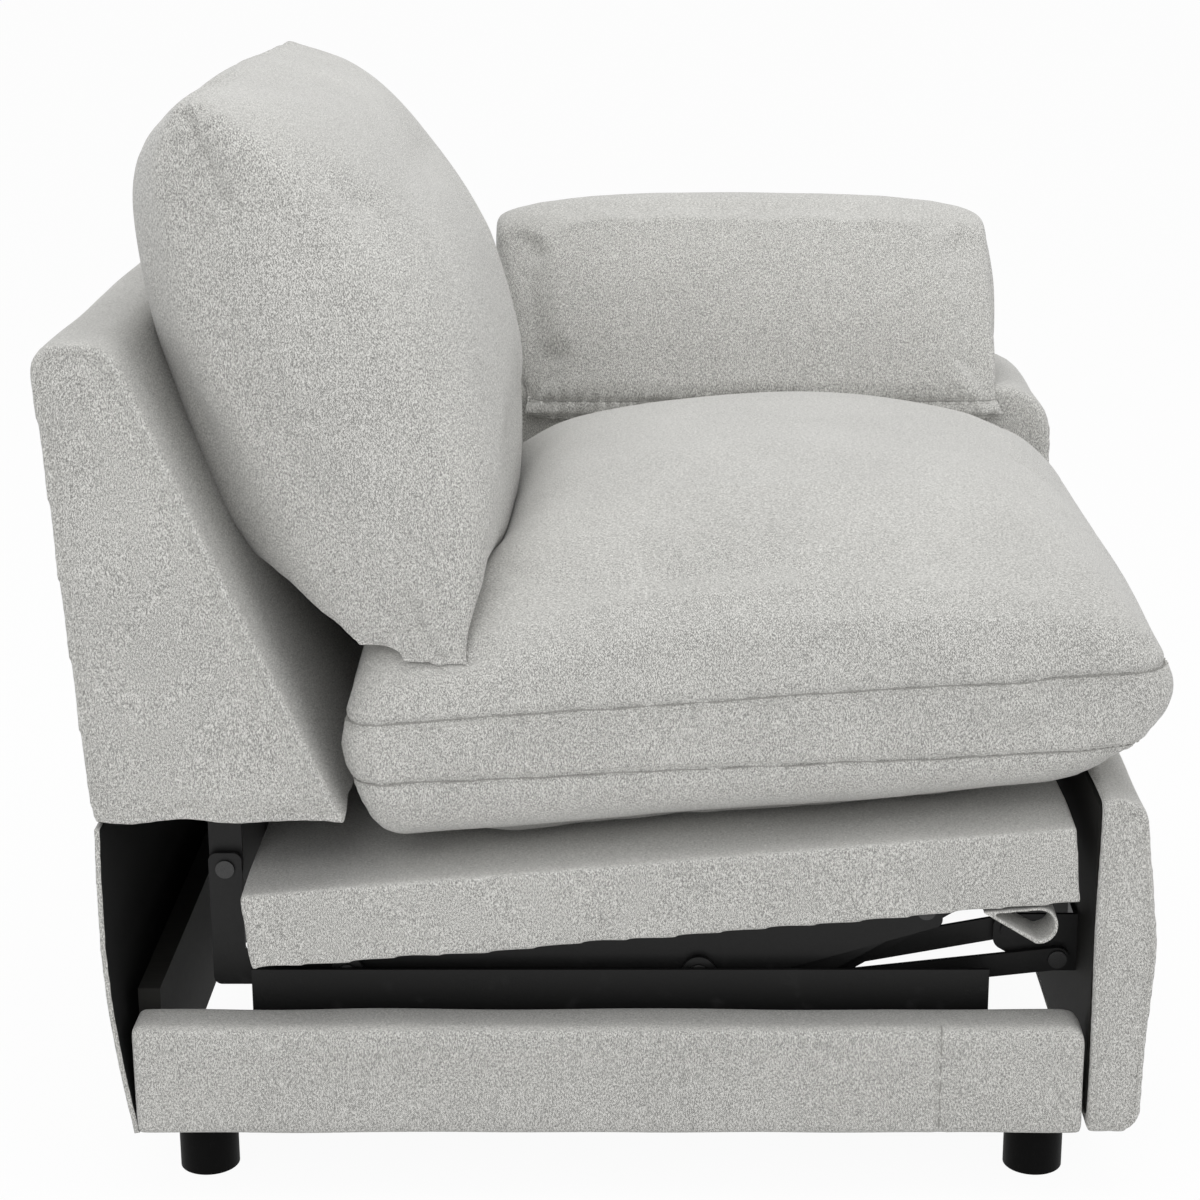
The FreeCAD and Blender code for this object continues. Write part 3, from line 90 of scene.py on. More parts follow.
def add_node(tree, kind, sockets=None, out=0, **settings):
    """Any node: its settings come first, then the values or links of its sockets."""
    node = tree.nodes.new("ShaderNode" + kind)
    for name, value in settings.items():
        setattr(node, name, value)
    for key, value in (sockets or {}).items():
        plug(tree, node.inputs[key], value)
    return Value(tree, node.outputs[out])


class Value:
    """One socket of a finish, with the operators that the finishes below use."""

    def __init__(self, tree, socket):
        self.tree = tree
        self.socket = socket

    def math(self, operation, *terms):
        return add_node(self.tree, "Math", dict(enumerate(terms)), operation=operation)

    def __add__(self, other):
        return self.math("ADD", self, other)

    def __sub__(self, other):
        return self.math("SUBTRACT", self, other)

    def __rsub__(self, other):
        return self.math("SUBTRACT", other, self)

    def __mul__(self, other):
        return self.math("MULTIPLY", self, other)

    def __pow__(self, other):
        return self.math("POWER", self, other)

    def __abs__(self):
        return self.math("ABSOLUTE", self)

    def sine(self):
        return self.math("SINE", self)

    def between(self, low, high):
        """0 below low, 1 above high and a straight line between them."""
        return add_node(self.tree, "MapRange", {"Value": self, "From Min": low, "From Max": high})

    __radd__ = __add__
    __rmul__ = __mul__


class Finish:
    """A material with one Principled shader, whose constants are set by name."""

    def __init__(self, name, **constants):
        self.material = bpy.data.materials.new(name)
        self.material.use_nodes = True
        self.tree = self.material.node_tree
        self.shader = self.tree.nodes["Principled BSDF"]
        for socket, value in constants.items():
            self.shader.inputs[socket.replace("_", " ")].default_value = value

    def node(self, kind, sockets=None, out=0, **settings):
        return add_node(self.tree, kind, sockets, out, **settings)

    def place(self):
        return self.node("TexCoord", out="Object")

    def stretched(self, vector, scale):
        return self.node("VectorMath", {0: vector, 1: scale}, operation="MULTIPLY")

    def axis(self, vector, name):
        return self.node("SeparateXYZ", {0: vector}, out=name)

    def cloud(self, vector, scale, detail=2.0):
        return self.node("TexNoise", {"Vector": vector, "Scale": scale, "Detail": detail})

    def mixed(self, share, low, high):
        return self.node("Mix", {0: share, 6: low, 7: high}, out=2, data_type="RGBA")

    def bump(self, height, distance, strength=1.0):
        return self.node("Bump", {"Height": height, "Distance": distance, "Strength": strength})

    def coat(self, **sockets):
        for socket, value in sockets.items():
            plug(self.tree, self.shader.inputs[socket.replace("_", " ")], value)
        return self.material


def grey(level, warmth=0.0):
    """A near-grey colour; warmth takes a little blue out of it."""
    return (level, level * (1 - 0.2 * warmth), level * (1 - warmth), 1)


# %% [markdown]
# ## Woven cloth
# The cover is a heathered tweed: pale and mid-grey yarns, spun unevenly, in a plain weave.
# A picture texture would need UVs, which remeshing removes, so the yarns are sines along the three axes.
# The surface's own direction chooses which two axes cross on each side of a cushion.

# %% Cloth finishes
YARN_PITCH = 0.0021
SLUB_SCALE = 1150
SLUB_DRAW = 0.38
HEATHER_SCALE = 1050
PATCH_SCALE = 9


def woven(name, shade, tint, sheen=0.25):
    """A plain weave whose yarns run up the sides and front to back over the tops."""
    cloth = Finish(name, Sheen_Weight=sheen, Sheen_Roughness=0.5, Specular_IOR_Level=0.2)
    place = cloth.place()
    facing = cloth.node("NewGeometry", out="Normal")
    side, front, top = [abs(cloth.axis(facing, axis)) ** 3 for axis in "XYZ"]
    wander = cloth.cloud(place, 90) * 1.6
    x, y, z = [
        (cloth.axis(place, axis) * (2 * math.pi / YARN_PITCH) + wander).sine() for axis in "XYZ"
    ]
    weave = (side * y * z + front * x * z + top * x * y) * 0.5 + 0.5
    upright = cloth.cloud(cloth.stretched(place, (1, 1, SLUB_DRAW)), SLUB_SCALE)
    lying = cloth.cloud(cloth.stretched(place, (1, SLUB_DRAW, 1)), SLUB_SCALE)
    flat_share = top.between(0.1, 0.4)
    slub = upright * (1 - flat_share) + lying * flat_share
    heather = cloth.cloud(place, HEATHER_SCALE, 3.0)
    patch = cloth.cloud(place, PATCH_SCALE)
    grain = (slub - 0.5) * 3.0 + (heather - 0.5) * 3.2
    tone = grain * (1 - flat_share * 0.55) + (weave - 0.5) * 0.35 + (patch - 0.5) * 0.2
    fleck = heather.between(0.34, 0.42)
    colour = cloth.mixed((tone + 0.5).between(0.0, 1.0), shade, tint)
    colour = cloth.mixed(1 - (1 - fleck) * (1 - flat_share) * 0.6, shade, colour)
    height = weave * 0.45 + slub * 0.7 + heather * 0.35
    return cloth.coat(
        Base_Color=colour,
        Roughness=0.86 + 0.1 * weave,
        Normal=cloth.bump(height, 0.0008, 0.7),
    )


tweed = woven("tweed", (0.250, 0.247, 0.236, 1), (0.740, 0.734, 0.704, 1))
thread = Finish("thread", Roughness=0.7)
twist = thread.cloud(thread.place(), 1800)
thread.coat(
    Base_Color=thread.mixed(twist, grey(0.38, 0.06), grey(0.58, 0.06)),
    Normal=thread.bump(twist, 0.0003),
)
# Painted seam shade: the dark grey of the tubes laid in the seam valleys stands in for the shade that falls
# there.
seam_shade = Finish("seam_shade", Roughness=0.9, Specular_IOR_Level=0.1)
seam_shade_mottle = seam_shade.cloud(seam_shade.place(), 1200)
seam_shade.coat(
    Base_Color=seam_shade.mixed(seam_shade_mottle, grey(0.26, 0.06), grey(0.42, 0.06)),
    Normal=seam_shade.bump(seam_shade_mottle, 0.0003),
)
lining = Finish("black_lining", Roughness=0.95, Specular_IOR_Level=0.15)
fibres = lining.cloud(lining.place(), 900, 4.0)
lining.coat(
    Base_Color=lining.mixed(fibres, grey(0.006), grey(0.022)),
    Normal=lining.bump(fibres, 0.0006),
)
print("cloth", tweed.name, thread.material.name, lining.material.name)

# %% [markdown]
# ## Steel, plastic and boards
# The mechanism is black enamelled steel: satin, a little uneven, rubbed paler in small marks.
# The boards inside are natural timber painted near black, as painted shade for the dark inside of the frame;
# their grain is their own. The feet are moulded with a fine grain.

# %% Hard finishes
enamel = Finish("black_enamel", Specular_IOR_Level=0.3, Coat_Roughness=0.35)
peel = enamel.cloud(enamel.place(), 420, 3.0)
rubbed = enamel.cloud(enamel.place(), 46, 5.0).between(0.62, 0.74)
enamel.coat(
    Base_Color=enamel.mixed(rubbed * 0.6, grey(0.005), grey(0.022)),
    Roughness=0.42 + peel * 0.2 + rubbed * 0.15,
    Coat_Weight=0.12 - rubbed * 0.1,
    Normal=enamel.bump(peel, 0.0003, 0.4),
)
zinc = Finish("zinc_steel", Metallic=1.0)
spin = zinc.cloud(zinc.stretched(zinc.place(), (1, 6, 6)), 240, 3.0)
zinc.coat(
    Base_Color=zinc.mixed(spin, grey(0.035), grey(0.10)),
    Roughness=0.3 + spin * 0.2,
    Normal=zinc.bump(spin, 0.0002, 0.4),
)
moulded = Finish("moulded_black", Specular_IOR_Level=0.05)
pebble = moulded.cloud(moulded.place(), 1400, 2.0)
smear = moulded.cloud(moulded.place(), 30, 4.0)
moulded.coat(
    Base_Color=moulded.mixed(smear, grey(0.002), grey(0.005)),
    Roughness=0.42 + smear * 0.18,
    Normal=moulded.bump(pebble, 0.0003, 0.5),
)
key_grey = Finish("key_grey", Specular_IOR_Level=0.4)
satin = key_grey.cloud(key_grey.place(), 1600, 2.0)
key_grey.coat(
    Base_Color=key_grey.mixed(satin, grey(0.16), grey(0.22)),
    Roughness=0.4 + satin * 0.15,
    Normal=key_grey.bump(satin, 0.0002, 0.4),
)
# Painted shade: natural timber boards coloured near black because the inside of the frame lies in shade; the
# rings and pores are their real grain.
board_shade = Finish("board_in_painted_shade", Specular_IOR_Level=0.25)
rings = board_shade.cloud(board_shade.stretched(board_shade.place(), (30, 3, 30)), 3.0, 6.0)
pores = board_shade.cloud(board_shade.stretched(board_shade.place(), (900, 40, 900)), 1.0, 2.0)
board_shade.coat(
    Base_Color=board_shade.mixed(rings * 0.7 + pores * 0.3, grey(0.006, 0.1), grey(0.018, 0.15)),
    Roughness=0.7 + pores * 0.2,
    Normal=board_shade.bump(pores, 0.0005, 0.5),
)
strap_cloth = Finish("strap_cloth", Roughness=0.85)
ribs = (strap_cloth.axis(strap_cloth.place(), "Y") * 2400).sine()
strap_cloth.coat(
    Base_Color=strap_cloth.mixed(ribs * 0.5 + 0.5, grey(0.012), grey(0.04)),
    Normal=strap_cloth.bump(ribs, 0.0004),
)

NODE_FINISH = [
    (("foot_near", "foot_far", "control_panel", "power_inlet"), moulded.material),
    (("recline_button", "return_button"), key_grey.material),
    (("base_pivot_pins", "seat_pivot_pins", "drive_link_pins", "footrest_link_pins"), zinc.material),
    (("lead_screw",), zinc.material),
    (("corner_blocks", "side_rail_board", "rear_board", "arm_frame"), board_shade.material),
    (("seat_frame", "footrest_board", "back_frame"), board_shade.material),
    (("seat_webbing",), strap_cloth.material),
]
for node_name, node_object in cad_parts.items():
    finish = enamel.material
    for starts, material in NODE_FINISH:
        if node_name.startswith(starts):
            finish = material
    node_object.data.materials.clear()
    node_object.data.materials.append(finish)
print("finishes on", len(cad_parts), "frame nodes")

# %% [markdown]
# ## Tools for soft goods
# A soft piece starts as a copy of its CAD solid, remeshed into small even quads.
# Cloth simulation with air pressure then makes it plump, and the move of each point is capped,
# so the piece stays in the space that the solid holds.

# %% Soft tools
MERGE = 1e-5
INSIDE = 1e-4


def points_of(mesh):
    flat = np.empty(len(mesh.vertices) * 3)
    mesh.vertices.foreach_get("co", flat)
    return flat.reshape(-1, 3)


def normals_of(mesh):
    flat = np.empty(len(mesh.vertices) * 3)
    mesh.vertex_normals.foreach_get("vector", flat)
    return flat.reshape(-1, 3)


def put_points(piece, points):
    piece.data.vertices.foreach_set("co", points.ravel())
    piece.data.update()


def settle(piece):
    """Applies the modifiers and keeps the plain mesh."""
    graph = bpy.context.evaluated_depsgraph_get()
    mesh = bpy.data.meshes.new_from_object(piece.evaluated_get(graph))
    piece.modifiers.clear()
    old = piece.data
    piece.data = mesh
    bpy.data.meshes.remove(old)
    mesh.name = piece.name


def new_piece(name, mesh):
    piece = bpy.data.objects.new(name, mesh)
    bpy.context.scene.collection.objects.link(piece)
    return piece


def islands(work):
    """The separate shells of a bmesh, each as a list of vertices."""
    left = set(work.verts)
    found = []
    while left:
        front = [left.pop()]
        shell = list(front)
        while front:
            vertex = front.pop()
            for edge in vertex.link_edges:
                other = edge.other_vert(vertex)
                if other in left:
                    left.remove(other)
                    shell.append(other)
                    front.append(other)
        found.append(shell)
    return found


def outer_copy(name, node_name):
    """A copy of a CAD node without the sealed hollow inside it."""
    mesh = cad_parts[node_name].data.copy()
    work = bmesh.new()
    work.from_mesh(mesh)
    bmesh.ops.remove_doubles(work, verts=work.verts, dist=MERGE)
    spans = []
    for shell in islands(work):
        corners = np.array([vertex.co for vertex in shell])
        spans.append((corners.min(0), corners.max(0), shell))
    for low, high, shell in spans:
        within = [
            np.all(low > other_low + INSIDE) and np.all(high < other_high - INSIDE)
            for other_low, other_high, _ in spans
        ]
        if any(within):
            bmesh.ops.delete(work, geom=shell, context="VERTS")
    work.to_mesh(mesh)
    work.free()
    mesh.materials.clear()
    return new_piece(name, mesh)


def smoothed(piece, rounds):
    modifier = piece.modifiers.new("soften", "SMOOTH")
    modifier.factor = 0.5
    modifier.iterations = rounds
    settle(piece)


def skin(name, node_name, voxel, rounds):
    """An even skin over a CAD node, with its edges softened."""
    piece = outer_copy(name, node_name)
    modifier = piece.modifiers.new("skin", "REMESH")
    modifier.mode = "VOXEL"
    modifier.voxel_size = voxel
    settle(piece)
    smoothed(piece, rounds)
    return piece


def plump(piece, start_in, cap_out, cap_in, cap_any, pressure=4.0, frames=20, tight=()):
    """Blows a skin up as cloth; tight holds weights for points whose yarns draw together."""
    solid = points_of(piece.data)
    start = solid - normals_of(piece.data) * start_in
    outward = normals_of(piece.data)
    put_points(piece, start)
    cloth = piece.modifiers.new("air", "CLOTH")
    cloth.settings.use_pressure = True
    cloth.settings.uniform_pressure_force = pressure
    cloth.settings.effector_weights.gravity = 0
    cloth.settings.quality = 4
    cloth.settings.tension_stiffness = 12
    cloth.settings.bending_stiffness = 0.6
    cloth.collision_settings.use_collision = False
    if len(tight):
        group = piece.vertex_groups.new(name="drawn")
        for index in np.flatnonzero(tight > 0.05):
            group.add([int(index)], float(tight[index]), "REPLACE")
        cloth.settings.vertex_group_shrink = "drawn"
        cloth.settings.shrink_max = 0.05
    cloth.point_cache.frame_start = 1
    cloth.point_cache.frame_end = frames
    for frame_number in range(1, frames + 1):
        bpy.context.scene.frame_set(frame_number)
    graph = bpy.context.evaluated_depsgraph_get()
    moved = points_of(piece.evaluated_get(graph).data)
    piece.modifiers.clear()
    piece.vertex_groups.clear()
    bpy.context.scene.frame_set(1)
    move = moved - start
    rise = np.sum(move * outward, 1)
    move += outward * (np.clip(rise, -cap_in, cap_out) - rise)[:, None]
    length = np.linalg.norm(move, axis=1)
    move *= np.minimum(1, cap_any / np.maximum(length, 1e-9))[:, None]
    put_points(piece, start + move)
    print(piece.name, "points", len(start), "mean move mm", round(length.mean() * 1000, 1))


def finer(piece):
    modifier = piece.modifiers.new("finer", "SUBSURF")
    modifier.levels = 1
    modifier.render_levels = 1
    settle(piece)


def ripple(piece, height, length, seed, mask=None):
    """Slow uneven swells, as cloth has over foam."""
    points = points_of(piece.data)
    away = Vector((seed * 3.7, seed * 1.3, seed * 2.1))
    lift = np.array([noise.noise(Vector(point) / length + away) for point in points]) * height
    if mask is not None:
        lift *= mask(points)
    put_points(piece, points + normals_of(piece.data) * lift[:, None])


def dress(piece, material, body, node_names=()):
    """Gives a finished piece its cloth, smooth shading and its body, and hides the CAD nodes that it replaces.
    """
    piece.data.materials.clear()
    piece.data.materials.append(material)
    piece.data.polygons.foreach_set("use_smooth", np.ones(len(piece.data.polygons), bool))
    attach(piece, body)
    if node_names:
        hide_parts(*node_names)
    print(piece.name, "faces", len(piece.data.polygons))


# %% [markdown]
# ## Tools for seams
# A seam is a line that rays find on the finished skin. The skin is pressed in along it and puckers beside it,
# and the thread is laid on as short stitches, so both are real shapes. A thin dark tube laid in the valley is
# painted shade.

# %% Seam tools
STITCH = 0.0048
STITCH_GAP = 0.0022
THREAD_RADIUS = 0.00055
PUCKER_LENGTHS = (0.011, 0.024)
VALLEY_STEP = 0.004
VALLEY_RADIUS = 0.0006
VALLEY_EVEN = 12
FAR = 2.0


def tree_of(piece):
    mesh = piece.data
    return BVHTree.FromPolygons(points_of(mesh).tolist(), [p.vertices[:] for p in mesh.polygons])


def spaced(line, step, closed=False):
    """The line with points at even distances."""
    line = np.asarray(line, float)
    if closed:
        line = np.vstack([line, line[:1]])
    runs = np.linalg.norm(np.diff(line, axis=0), axis=1)
    along = np.concatenate([[0], np.cumsum(runs)])
    count = max(2, int(round(along[-1] / step)) + 1)
    marks = np.linspace(0, along[-1], count)
    return np.stack([np.interp(marks, along, line[:, i]) for i in range(3)], 1)


def cast(tree, starts, ways):
    """Where rays first meet a skin; those that miss are left out."""
    hits = []
    for start, way in zip(starts, ways):
        hit = tree.ray_cast(Vector(start), Vector(way))[0]
        if hit is not None:
            hits.append(hit)
    return np.array(hits)


def around(tree, centre, height_at, count=480):
    """A level loop round an upright piece, at a height that may change from front to rear."""
    loop = []
    for step in range(count):
        turn = 2 * math.pi * step / count
        way = Vector((math.cos(turn), math.sin(turn), 0))
        y = centre[1]
        for _ in range(3):
            start = Vector((centre[0], centre[1], height_at(y))) + way * FAR
            hit = tree.ray_cast(start, -way)[0]
            if hit is None:
                break
            y = hit.y
        if hit is not None:
            loop.append(hit)
    return np.array(loop)


def panel_edge(tree, centre, level, inset, axis, side, count=720):
    """A closed line just inside the outline of a flat end panel, seen along one axis."""
    across = [i for i in range(3) if i != axis]
    edge = []
    for step in range(count):
        turn = 2 * math.pi * step / count
        way = np.zeros(3)
        way[across[0]], way[across[1]] = math.cos(turn), math.sin(turn)
        start = np.array(centre, float)
        start[axis] = level
        hit = tree.ray_cast(Vector(start + way * FAR), Vector(-way))[0]
        if hit is not None:
            edge.append(hit)
    edge = spaced(edge, 0.004, closed=True)[:-1]
    for _ in range(6):
        edge = (np.roll(edge, 1, 0) + edge * 2 + np.roll(edge, -1, 0)) / 4
    tangent = np.roll(edge, -1, 0) - np.roll(edge, 1, 0)
    tangent /= np.linalg.norm(tangent, axis=1)[:, None]
    along_axis = np.zeros(3)
    along_axis[axis] = 1
    inward = np.cross(along_axis, tangent)
    middle = np.array(centre, float)
    flip = np.sign(np.sum(inward * (middle - edge), 1))
    edge = edge + inward * np.sign(flip.sum()) * inset
    start = edge.copy()
    start[:, axis] = side * FAR
    return cast(tree, start, np.tile(-side * along_axis, (len(start), 1)))


def press(piece, line, reach, depth, pucker=0.0, pucker_reach=0.03, seed=1):
    """Presses a seam into a skin, with small folds that die out beside it."""
    line = spaced(line, 0.003)
    finder = kdtree.KDTree(len(line))
    for index, point in enumerate(line):
        finder.insert(point, index)
    finder.balance()
    draw = random.Random(seed)
    phase = np.cumsum([2 * math.pi * 0.003 / draw.uniform(*PUCKER_LENGTHS) for _ in line])
    points = points_of(piece.data)
    normals = normals_of(piece.data)
    room = max(reach, pucker_reach)
    near = np.all((points > line.min(0) - room) & (points < line.max(0) + room), axis=1)
    for index in np.flatnonzero(near):
        _, nearest, gap = finder.find(points[index])
        if gap > room:
            continue
        lift = -depth * math.exp(-((gap / reach) ** 2) * 4)
        lift += pucker * math.sin(phase[nearest]) * math.exp(-((gap / pucker_reach) ** 2) * 3)
        points[index] += normals[index] * lift
    put_points(piece, points)


def stitches(name, tree, line, body, offset=0.0):
    """A row of thread stitches that lies on a skin, offset sideways from a line."""
    line = spaced(line, STITCH + STITCH_GAP)
    verts, faces = [], []
    sides = 6
    rings = [(0.0, 0.35, 0.0), (0.25, 1.0, 0.7), (0.75, 1.0, 0.7), (1.0, 0.35, 0.0)]
    share = STITCH / (STITCH + STITCH_GAP)
    for start, end in zip(line[:-1], line[1:]):
        start, end = Vector(start), Vector(end)
        run = (end - start) * share
        spot, normal, _, _ = tree.find_nearest(start)
        if spot is None or run.length < STITCH * 0.5:
            continue
        across = normal.cross(run).normalized()
        spot, normal, _, _ = tree.find_nearest(start + across * offset)
        far_spot, _, _, _ = tree.find_nearest(start + run + across * offset)
        run = far_spot - spot
        first = len(verts)
        for along, width, lift in rings:
            middle = spot + run * along + normal * THREAD_RADIUS * lift
            for step in range(sides):
                turn = 2 * math.pi * step / sides
                ring = across * math.cos(turn) + normal * math.sin(turn)
                verts.append(middle + ring * THREAD_RADIUS * width)
        for ring in range(len(rings) - 1):
            for step in range(sides):
                corner = first + ring * sides
                following = (step + 1) % sides
                low, high = corner + step, corner + following
                faces.append((low, high, high + sides, low + sides))
        faces.append(tuple(first + step for step in reversed(range(sides))))
        last = first + (len(rings) - 1) * sides
        faces.append(tuple(last + step for step in range(sides)))
    mesh = bpy.data.meshes.new(name)
    mesh.from_pydata(verts, [], faces)
    piece = new_piece(name, mesh)
    dress(piece, thread.material, body)
    return piece


def valley(name, tree, line, body, sink, closed=False):
    """Painted shade for the valley of a seam: one thin dark tube sunk below the line, where the valley's shade
    falls.
    """
    line = spaced(line, VALLEY_STEP, closed)
    line = line[:-1] if closed else line
    curve = bpy.data.curves.new(name, "CURVE")
    curve.dimensions = "3D"
    curve.bevel_depth = VALLEY_RADIUS
    curve.bevel_resolution = 1
    path = curve.splines.new("POLY")
    path.points.add(len(line) - 1)
    path.use_cyclic_u = closed
    normals = np.array([tree.find_nearest(Vector(spot))[1] for spot in line])
    for _ in range(VALLEY_EVEN):
        normals[1:-1] = (normals[:-2] + normals[1:-1] * 2 + normals[2:]) / 4
    for point, spot, normal in zip(path.points, line, normals):
        point.co = (*(spot - normal * sink), 1)
    tube = new_piece(name, curve)
    graph = bpy.context.evaluated_depsgraph_get()
    mesh = bpy.data.meshes.new_from_object(tube.evaluated_get(graph))
    bpy.data.objects.remove(tube)
    bpy.data.curves.remove(curve)
    piece = new_piece(name, mesh)
    dress(piece, seam_shade.material, body)


# %% [markdown]
# ## Seat cushion
# The seat is a very full box cushion: a crowned top, a band round its side between two seams, and a soft belly.
# Its seams draw the cloth together, so the yarns there shrink during the simulation and small puckers appear.

# %% Seat cushion
CUSHION_VOXEL = 0.006
SEAT_CENTRE = (-0.115, -0.115)
TOP_SEAM_REAR, TOP_SEAM_CLIMB = (0.243, 0.4445), 0.0726
LOW_SEAM_REAR, LOW_SEAM_CLIMB = (0.232, 0.391), 0.0494
DRAWN_REACH = 0.006
DRAWN_UPRIGHT = 0.25
NOSE_START, NOSE_BLEND, NOSE_PUSH = -0.36, 0.1, 0.017


def seat_top_seam(y):
    """Height of the upper seam of the band, which climbs towards the front."""
    return TOP_SEAM_REAR[1] + (TOP_SEAM_REAR[0] - y) * TOP_SEAM_CLIMB


def seat_low_seam(y):
    return LOW_SEAM_REAR[1] + (LOW_SEAM_REAR[0] - y) * LOW_SEAM_CLIMB


seat_cushion = skin("seat_cushion_soft", "seat_cushion", CUSHION_VOXEL, rounds=8)
spots = points_of(seat_cushion.data)
upright = 1 - np.abs(normals_of(seat_cushion.data)[:, 2])
drawn = np.zeros(len(spots))
for seam in (seat_top_seam, seat_low_seam):
    gap = np.abs(spots[:, 2] - seam(spots[:, 1]))
    drawn = np.maximum(drawn, np.exp(-((gap / DRAWN_REACH) ** 2)) * (upright > DRAWN_UPRIGHT))
plump(seat_cushion, start_in=0.008, cap_out=0.012, cap_in=0.001, cap_any=0.026, tight=drawn)
smoothed(seat_cushion, rounds=14)
nose = points_of(seat_cushion.data)
nose_share = np.clip((NOSE_START - nose[:, 1]) / NOSE_BLEND, 0, 1)
nose[:, 1] -= NOSE_PUSH * nose_share * nose_share * (3 - 2 * nose_share)
put_points(seat_cushion, nose)
print("seat cushion reaches y", round(nose[:, 1].min(), 3))

# %% [markdown]
# ## Back cushion
# The back is a loose fibre pillow with two soft ears at its top corners, leaning on the back frame.
# It is blown up in the same way as the seat. Fibre sinks with use, so its lower front then swells forward,
# its lower edge sags onto the seat, and short seams close its ends.

# %% Back cushion
BACK_SLOPE = ((0.494, 0.290), (0.990, 0.496))
CUSHION_DEPTH = 0.23
BELLY_HEIGHT, BELLY_SPREAD, BELLY_PUSH = 0.585, 0.115, 0.042
SAG_WIDTH = 0.11
END_SAG = (0.034, 0.66, 0.50)
MIDDLE_SAG = (0.075, 0.82, 0.614)


def slump(points):
    """Fibre filling sinks: the lower front swells forward and the bottom edge sags onto the seat."""
    slope = np.interp(points[:, 2], *zip(*BACK_SLOPE))
    depth = np.clip((slope - points[:, 1]) / CUSHION_DEPTH, 0, 1)
    low = np.exp(-(((points[:, 2] - BELLY_HEIGHT) / BELLY_SPREAD) ** 2))
    near, far = [corner.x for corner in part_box("back_cushion")]
    end_gap = np.minimum(points[:, 0] - near, far - points[:, 0])
    end_share = np.exp(-((end_gap / SAG_WIDTH) ** 2))
    drop, top, bottom = [
        end * end_share + middle * (1 - end_share) for end, middle in zip(END_SAG, MIDDLE_SAG)
    ]
    fall = np.clip((top - points[:, 2]) / (top - bottom), 0, 1)
    points[:, 1] -= BELLY_PUSH * depth * low
    points[:, 2] -= drop * fall
    return points


back_cushion = skin("back_cushion_soft", "back_cushion", CUSHION_VOXEL, rounds=40)
plump(back_cushion, start_in=0.006, cap_out=0.014, cap_in=0.001, cap_any=0.028)
smoothed(back_cushion, rounds=10)
put_points(back_cushion, slump(points_of(back_cushion.data)))
finer(back_cushion)
ripple(back_cushion, height=0.005, length=0.16, seed=5)

# %% Back cushion seams
END_SEAM_POINTS = 30
BACK_END_LINE = ((0.494, 0.147), (0.990, 0.353))
EAR_HEIGHTS = (0.895, 0.982)
FOOT_HEIGHTS = (0.486, 0.560)


def end_seam(tree, heights, side):
    """A short seam up the thin end of the back cushion."""
    z = np.linspace(*heights, END_SEAM_POINTS)
    y = np.interp(z, *zip(*BACK_END_LINE))
    starts = np.stack([np.full(END_SEAM_POINTS, side * FAR), y, z], 1)
    return cast(tree, starts, np.tile((-side, 0, 0), (END_SEAM_POINTS, 1)))


back_skin = tree_of(back_cushion)
back_seams = [
    end_seam(back_skin, heights, side) for side in (-1, 1) for heights in (EAR_HEIGHTS, FOOT_HEIGHTS)
]
for number, line in enumerate(back_seams):
    press(back_cushion, line, reach=0.008, depth=0.004, pucker=0.0015, pucker_reach=0.035, seed=number + 41)
dress(back_cushion, tweed, "back", ["back_cushion"])

# %% [markdown]
# ## Where the cushions press
# The back cushion rests on the rear of the seat, which gives way under it.
# Each point of the seat that lies inside the back cushion is lowered to just under it,
# and the dent spreads to the points around it.

# %% Seat gives way
PRESS_GAP = 0.0015
PRESS_FRONT, PRESS_LOW = -0.1, 0.42
DOWN = Vector((0, 0, -1))


def give_way(piece, tree, gap, spread):
    """Lowers a skin under another one that rests on it; spread is how many rounds the dent runs out."""
    points = points_of(piece.data)
    need = np.zeros(len(points))
    for index in np.flatnonzero((points[:, 1] > PRESS_FRONT) & (points[:, 2] > PRESS_LOW)):
        spot, way, _, _ = tree.ray_cast(Vector(points[index]), DOWN)
        if spot is not None and way.z < 0:
            need[index] = points[index, 2] - spot.z + gap
    ends = np.array([edge.vertices[:] for edge in piece.data.edges])
    count = np.bincount(ends.ravel(), minlength=len(points))
    drop = need
    for _ in range(spread):
        total = np.bincount(ends[:, 0], drop[ends[:, 1]], len(points))
        total += np.bincount(ends[:, 1], drop[ends[:, 0]], len(points))
        drop = np.maximum(need, total / count)
    points[:, 2] -= drop
    put_points(piece, points)
    print(piece.name, "pressed in by at most", round(need.max() * 1000, 1), "mm")


back_skin = tree_of(back_cushion)
give_way(seat_cushion, back_skin, PRESS_GAP, spread=60)
finer(seat_cushion)
ripple(seat_cushion, height=0.003, length=0.17, seed=1)
give_way(seat_cushion, back_skin, PRESS_GAP, spread=20)

# %% [markdown]
# ## Seams of the seat
# The band is sewn to the top and to the belly.
# Both seams are found on the pressed skin, so they follow the dent.

# %% Seat seams
SEAT_SINK = 0.0026
STITCH_OFFSET = 0.005
seat_skin = tree_of(seat_cushion)
seat_lines = [around(seat_skin, SEAT_CENTRE, seam) for seam in (seat_top_seam, seat_low_seam)]
for number, line in enumerate(seat_lines):
    press(seat_cushion, line, reach=0.006, depth=0.0036, pucker=0.0003, pucker_reach=0.022, seed=number + 3)
dress(seat_cushion, tweed, "seat", ["seat_cushion"])
seat_skin = tree_of(seat_cushion)
# Dark tubes in both seam valleys: painted shade. The stitches below are real thread.
valley("seat_top_seam", seat_skin, seat_lines[0], "seat", SEAT_SINK, closed=True)
valley("seat_low_seam", seat_skin, seat_lines[1], "seat", SEAT_SINK, closed=True)
stitches("seat_top_stitches", seat_skin, seat_lines[0], "seat", -STITCH_OFFSET)
stitches("seat_low_stitches", seat_skin, seat_lines[1], "seat", STITCH_OFFSET)

